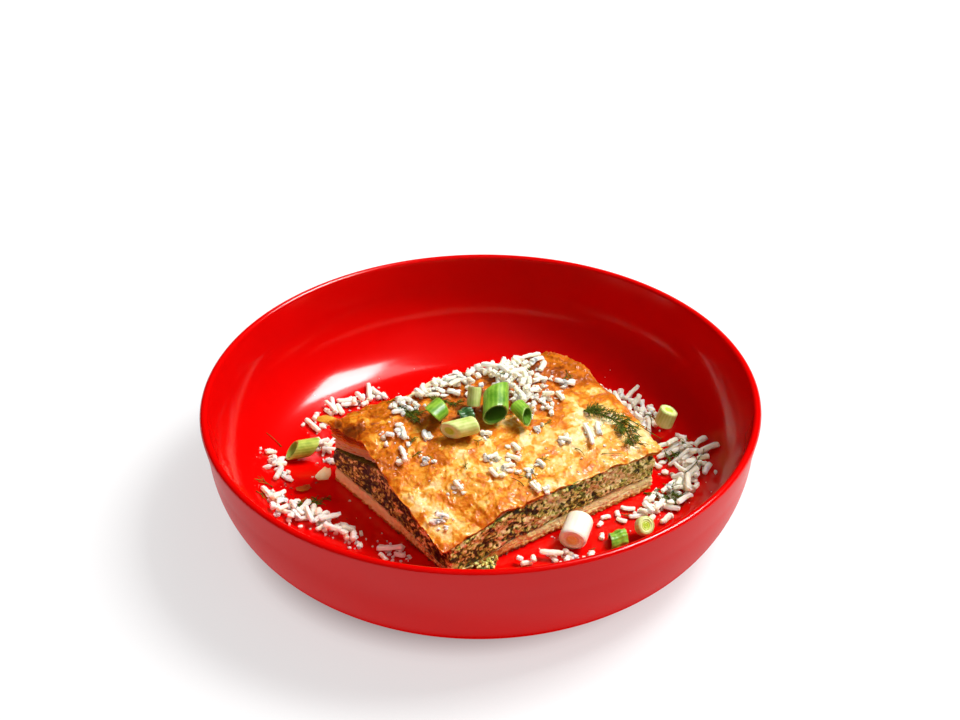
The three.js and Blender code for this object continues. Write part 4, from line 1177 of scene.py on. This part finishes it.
def threads(form, lines, thick, thin):
    """Tapering threads through rows of points."""
    sides = 5
    lines = np.asarray(lines, float)
    count, steps = lines.shape[:2]
    ahead = np.gradient(lines, axis=1)
    side = np.cross(ahead, [0.02, 0.01, 1.0])
    side /= np.linalg.norm(side, axis=-1, keepdims=True)
    up = np.cross(side, ahead)
    up /= np.linalg.norm(up, axis=-1, keepdims=True)
    reach = lerp(np.asarray(thick)[:, None], np.asarray(thin)[:, None], np.linspace(0, 1, steps)[None])
    turn = np.linspace(0, 2 * math.pi, sides, endpoint=False)
    ring = reach[..., None, None] * (
        np.cos(turn)[:, None] * side[:, :, None] + np.sin(turn)[:, None] * up[:, :, None]
    )
    points = lines[:, :, None] + ring
    corner, after, middle = np.zeros(sides - 2, int), np.arange(2, sides), np.arange(1, sides - 1)
    ends = np.concatenate([
        np.stack([corner, after, middle], -1),
        np.stack([corner, middle, after], -1) + (steps - 1) * sides,
    ])
    add_each(form, points.reshape(count, -1, 3), tube_sides(steps, sides), ends)


def curl_from(start, heading, length, lift, steps=7):
    """A thread that starts at a place, wanders over the ground and rises a little."""
    bend = chance.normal(0, 0.5)
    turn = heading + bend * np.linspace(-0.3, 1, steps)
    stride = length / (steps - 1)
    x = start[0] + np.concatenate([[0], np.cumsum(np.cos(turn[1:]) * stride)])
    y = start[1] + np.concatenate([[0], np.cumsum(np.sin(turn[1:]) * stride)])
    cells = ground.cells(x, y)
    rise = lift * np.sin(np.linspace(0.15, chance.uniform(1.2, 3.0), steps))
    z = np.maximum(ground.height[cells], 0) + 0.2 + rise
    z[0] = max(z[0], start[2]) if len(start) > 2 else z[0]
    for n in range(1, steps):
        z[n] = np.clip(z[n], z[n - 1] - 0.6 * stride, z[n - 1] + 0.6 * stride)
    return join(x, y, z)


def sprig(route, branches, reach, lift):
    """A stem along a route, with branches that fork into threads."""
    form = Form()
    steps = 24
    line = plan_line(route, steps)
    height = ground.height[ground.cells(line[:, 0], line[:, 1])]
    height = np.convolve(np.pad(height, 3, mode="edge"), np.ones(7) / 7, "valid") + 0.5
    stalk = np.column_stack([line, height])
    threads(form, [stalk], [0.36], [0.18])
    lines = []
    for _ in range(branches):
        n = chance.integers(0, steps - 1)
        ahead = math.atan2(*(line[n + 1] - line[n])[::-1])
        side = chance.choice([-1, 1]) * chance.uniform(0.4, 1.2)
        branch = curl_from(stalk[n], ahead + side, reach * chance.uniform(0.5, 1.1), lift)
        lines.append(branch)
        for fork in (1, 3, 4):
            for way in (-1, 1):
                turn = ahead + side + way * chance.uniform(0.3, 0.8)
                lines.append(curl_from(branch[fork], turn, reach * chance.uniform(0.4, 0.8), lift))
    threads(form, lines, chance.uniform(0.14, 0.22, len(lines)), chance.uniform(0.07, 0.11, len(lines)))
    return form


herb = Finish("fresh_dill")
herb.shade(
    Base_Color=herb.mix(herb.tone("tint"), srgb(40, 52, 4), srgb(104, 120, 20)),
    Roughness=0.5 + 0.2 * herb.grain(1.0),
    Specular_IOR_Level=0.2,
)
dill_rows = {
    "dill_right": ([[44, 10.6], [53, 8.8], [60, 4], [64, -7]], 46, 5.2, 2.2),
    "dill_left": ([[-37, 6], [-31, 4], [-25.5, -1]], 11, 5.0, 1.4),
    "dill_middle": ([[-21, 9.5], [-16, 12], [-11, 10.5]], 10, 4.5, 1.4),
    "dill_bowl_rim": ([[80.5, 12.7], [89, 12.4], [98, 9]], 9, 4.5, 1.0),
    "dill_bowl_right": ([[69, -10.5], [75.5, -13.5], [82, -20]], 14, 5.5, 1.3),
    "dill_bowl_left": ([[-77.5, -17], [-72, -16], [-66.5, -12]], 8, 4.5, 1.0),
}
for node, (route, branches, reach, lift) in dill_rows.items():
    sprig(route, branches, reach, lift).piece(node + "_sprig", herb, "dill", node)


def stray_threads(rows):
    """Single threads and small forks at places on the crust, the cheese and the bowl."""
    form = Form()
    lines = []
    for x, y, heading, length, forks in rows:
        turn = math.radians(heading)
        line = curl_from((x, y), turn, length, 0.9)
        lines.append(line)
        for n in range(forks):
            start = line[2 + n % 4]
            way = turn + (-1) ** n * chance.uniform(0.5, 1.0)
            lines.append(curl_from(start, way, length * chance.uniform(0.3, 0.55), 0.7))
    threads(form, lines, np.full(len(lines), 0.2), chance.uniform(0.09, 0.14, len(lines)))
    return form


stray_rows = (
    (62, 11, -52, 15, 3), (61, 8, -60, 11, 2), (-29.4, -18, 70, 6, 5), (-28, -22, 20, 4, 3),
    (21.5, -24.9, -108, 10, 3), (24, -22, 40, 5, 2), (39, -12.5, -30, 6, 0), (50, -14, 5, 9, 0),
    (17, -36, 130, 6, 0), (-22, -24, -50, 5, 1), (7, 26, 15, 6, 3), (23, 33, 100, 6, 4),
    (38, 39, -80, 8, 5), (27, 0, 30, 4, 3), (-6, -30, 100, 4, 2), (-17, -3, 60, 5, 3),
    (-3, -12, -40, 5, 1), (2, -4, -95, 6, 0), (10, 3, 60, 5, 1), (-34, 12, 150, 6, 4),
    (93.6, 2.2, -117, 9, 1), (96, 6, -100, 7, 1), (-94.9, -13.3, -20, 6, 2), (-89, -6, 160, 7, 3),
    (-72, -18, 200, 8, 5), (-66, -31, 60, 5, 3), (-84, -17, 80, 6, 4), (-70, 21, 120, 7, 2),
    (-88, 22, 140, 8, 0), (60, 50, 60, 6, 3), (74, 40, -30, 6, 3), (88, 14, 60, 7, 3),
    (78, -4, -60, 8, 5), (66, -20, -20, 7, 4), (58, -27, 20, 5, 3), (44, -50, 80, 4, 2),
)
stray_threads(stray_rows).piece("loose_dill_threads", herb, "dill", "dill_right")

# Crumbs and drops
# Filling that crumbled out at the front corner, specks of cheese thrown wider than the heaps,
# and small drops of oil that shine on the bowl.

SPECKS = 420
spill = chance.uniform([-13, 0.2, 0], [6, 5, 1], (130, 3))
spill_x = spill[:, 0]
spill_y = lerp(PIE["front"][1], PIE["right"][1], (spill_x + 12.2) / 84.7) - spill[:, 1]
clear = ~ground.on_pie[ground.cells(spill_x, spill_y)]
spill_x, spill_y = spill_x[clear], spill_y[clear]
spill_sizes = 0.5 + 0.7 * spill[clear, 2] ** 2
spill_z = FLOOR + 0.5 * spill_sizes + 2.6 * (1 - spill[clear, 1] / 5) * spill[clear, 2]
spilt = Form()
crumbs(spilt, join(spill_x, spill_y, spill_z), spill_sizes)
spilt.tones["kind"] = [0.3 + 0.5 * part for part in spilt.tones.pop("tint")]
spilt.tones["hollow"] = [np.zeros(spilt.count)]
spilt.piece("spilt_filling_crumbs", greens, "filling", soft_edges=False)

specks = Form()
turns = chance.random(SPECKS) * 2 * math.pi
reaches = np.sqrt(chance.random(SPECKS)) * 100
speck_x, speck_y = reaches * np.cos(turns), reaches * np.sin(turns)
nearby = rough(speck_x / 30, speck_y / 30, 60.0) + 0.25 * chance.random(SPECKS)
kept = (nearby > 0.64) & ~ground.shut[ground.cells(speck_x, speck_y)]
speck_sizes = 0.22 + 0.45 * chance.random(kept.sum()) ** 3
speck_x, speck_y = speck_x[kept], speck_y[kept]
speck_z = ground.height[ground.cells(speck_x, speck_y)] + 0.5 * speck_sizes
crumbs(specks, join(speck_x, speck_y, speck_z), speck_sizes)
specks.piece("cheese_specks", curd, "cheese", soft_edges=False)

oil = Finish("drops_of_oil")
oil.shade(
    Base_Color=oil.mix(oil.grain(3), srgb(150, 8, 4), srgb(176, 24, 8)),
    Roughness=0.05,
    Coat_Weight=1.0,
)
drops = Form()
drop_rows = chance.uniform([-86, -34, 0.4], [-50, 8, 1.0], (24, 3))
drop_rows = drop_rows[~ground.on_pie[ground.cells(drop_rows[:, 0], drop_rows[:, 1])]]
for x, y, size in drop_rows:
    base = float(bowl_inside(np.hypot(x, y)))
    turn = np.linspace(0, 2 * math.pi, 14, endpoint=False)
    rise = np.linspace(0, math.pi / 2, 5)[:, None]
    reach = size * np.cos(rise) * (1 + 0.12 * np.cos(2 * turn + x) + 0.08 * np.cos(3 * turn + y))
    height = base - 0.05 + 0.28 * size * np.sin(rise)
    drops.patch(join(x + reach * np.cos(turn), y + reach * np.sin(turn), height), wrap=True)
drops.piece("oil_drops", oil, "filling")

# Loose flakes
# Thin bits of baked leaf that broke off the crust: one stands out at the left corner, a pale
# strip lies along the back edge, and small ones lie in the bowl.


def flake(form, x, y, z, heading, length, width, curl, brown, seed):
    """A thin ragged leaf, curled across its length, with an upper and an under face."""
    u, v = np.meshgrid(np.linspace(-1, 1, 17), np.linspace(-1, 1, 9))
    half = width / 2 * (1 - 0.55 * np.abs(u) ** 3) * (0.75 + 0.5 * rough(u * 2 + seed, v * 0.2 + seed))
    across = v * half
    lengthwise = u * length / 2 * (0.85 + 0.3 * rough(v * 1.5 + seed, 4.0))
    rise = curl * (u ** 2 + 0.5 * v ** 2) + 0.6 * wobble(u * 1.5 + seed, v * 1.5)
    turn = math.radians(heading)
    grid = join(
        x + lengthwise * math.cos(turn) - across * math.sin(turn),
        y + lengthwise * math.sin(turn) + across * math.cos(turn),
        z + rise,
    )
    tone = np.clip(brown + 0.3 * wobble(u * 2, v * 2, seed), 0, 1)
    under = grid - [0, 0, 0.22]
    form.patch(grid, browning=tone)
    form.patch(under, turned=True, browning=tone)
    for a, b in ((0, slice(None)), (-1, slice(None)), (slice(None), 0), (slice(None), -1)):
        edge = np.stack([grid[a, b], under[a, b]])
        form.patch(edge, turned=(a == -1 or b == 0), browning=tone.mean())


flakes = Form()
flake(flakes, -64.5, 5.5, 36.0, 150, 11, 5.5, -0.8, 0.45, 1.0)
flake(flakes, -24.0, 21.5, 40.6, 48, 20, 2.6, 0.2, 0.05, 2.0)
flake(flakes, -68.0, 2.0, 8.2, 70, 9, 6.0, 1.2, 0.15, 3.0)
flake(flakes, -76.0, -6.0, 7.6, 20, 6, 3.5, 0.6, 0.8, 4.0)
flakes.piece("loose_pastry_flakes", baked, "pastry_top")

# Table, light and camera
# A white table top that glows with painted light, except in a painted shadow close round the bowl; a soft
# light high on the right, a little behind the bowl; a weaker one beside it; a wide dim one in front; and the
# camera where the photograph was taken from.

# The table glows with painted light of its own, more further out, except in a painted shadow close round the
# bowl. The shadow lies a little to the left and front, and the table's colour is a little darker there too.
glowing_table = Finish("glowing_table_painted_shadow")
from_painted_shadow_middle = glowing_table.node("ShaderNodeVectorMath", {"operation": "ADD"}, {0: glowing_table.place(), 1: (0.008, 0.003, 0)})
painted_shadow_distance = glowing_table.node("ShaderNodeVectorMath", {"operation": "LENGTH"}, {0: from_painted_shadow_middle}, "Value")
glowing_table.shade(
    Base_Color=glowing_table.mix(painted_shadow_distance.between(0.1, 0.3), srgb(150, 150, 150), srgb(156, 156, 156)),
    Roughness=0.9,
    Specular_IOR_Level=0.1,
    Emission_Color=glowing_table.ramp(
        painted_shadow_distance, (0.076, (0.02, 0.02, 0.02, 1)), (0.099, (0.64, 0.64, 0.64, 1)), (0.5, (0.82, 0.82, 0.82, 1)),
    ),
    Emission_Strength=1.0,
)


def make_table():
    half = 12.0
    corners = [(-half, -half, 0), (half, -half, 0), (half, half, 0), (-half, half, 0)]
    mesh = bpy.data.meshes.new("table_top")
    mesh.from_pydata(corners, [], [[0, 1, 2, 3]])
    mesh.materials.append(glowing_table.material)
    table = bpy.data.objects.new("table_top", mesh)
    bpy.context.collection.objects.link(table)


def make_light(name, azimuth, elevation, distance, size, power, mirrored=True):
    """A square light that faces the middle of the bowl. mirrored: it shows in the glaze."""
    turn, rise = math.radians(azimuth), math.radians(elevation)
    away = np.array([math.cos(turn) * math.cos(rise), math.sin(turn) * math.cos(rise), math.sin(rise)])
    lamp = bpy.data.lights.new(name, "AREA")
    lamp.shape = "SQUARE"
    lamp.size = size
    lamp.energy = power
    held = bpy.data.objects.new(name, lamp)
    bpy.context.collection.objects.link(held)
    held.location = away * distance
    held.rotation_euler = (math.pi / 2 - rise, 0, turn + math.pi / 2)
    held.visible_glossy = mirrored


def make_camera():
    place = (-0.001467, -0.513303, 0.402900)
    yaw, pitch, roll = 0.00287, 0.577524, -0.009622
    forward = np.array([math.sin(yaw) * math.cos(pitch), math.cos(yaw) * math.cos(pitch), -math.sin(pitch)])
    level = np.array([math.cos(yaw), -math.sin(yaw), 0.0])
    up = np.cross(level, forward)
    right = math.cos(roll) * level + math.sin(roll) * up
    top = math.cos(roll) * up - math.sin(roll) * level
    rotation = Matrix([list(row) for row in np.stack([right, top, -forward], -1)])
    lens = bpy.data.cameras.new("camera")
    lens.lens = 56.25
    lens.sensor_width = 36
    lens.clip_start = 0.01
    camera = bpy.data.objects.new("camera", lens)
    bpy.context.collection.objects.link(camera)
    camera.matrix_world = Matrix.Translation(place) @ rotation.to_4x4()
    bpy.context.scene.camera = camera


make_table()
make_light("key_softbox", 18, 57, 1.6, 0.6, 32)
make_light("fill_softbox", 38, 64, 2.0, 0.7, 6)
make_light("front_softbox", -80, 58, 2.5, 3.0, 13, mirrored=False)
surround = bpy.data.worlds.new("white_surround")
surround.use_nodes = True
surround.node_tree.nodes["Background"].inputs["Color"].default_value = (1, 1, 1, 1)
surround.node_tree.nodes["Background"].inputs["Strength"].default_value = 0.13
bpy.context.scene.world = surround
surround.cycles_visibility.glossy = False
bpy.context.scene.view_settings.view_transform = "Standard"
make_camera()
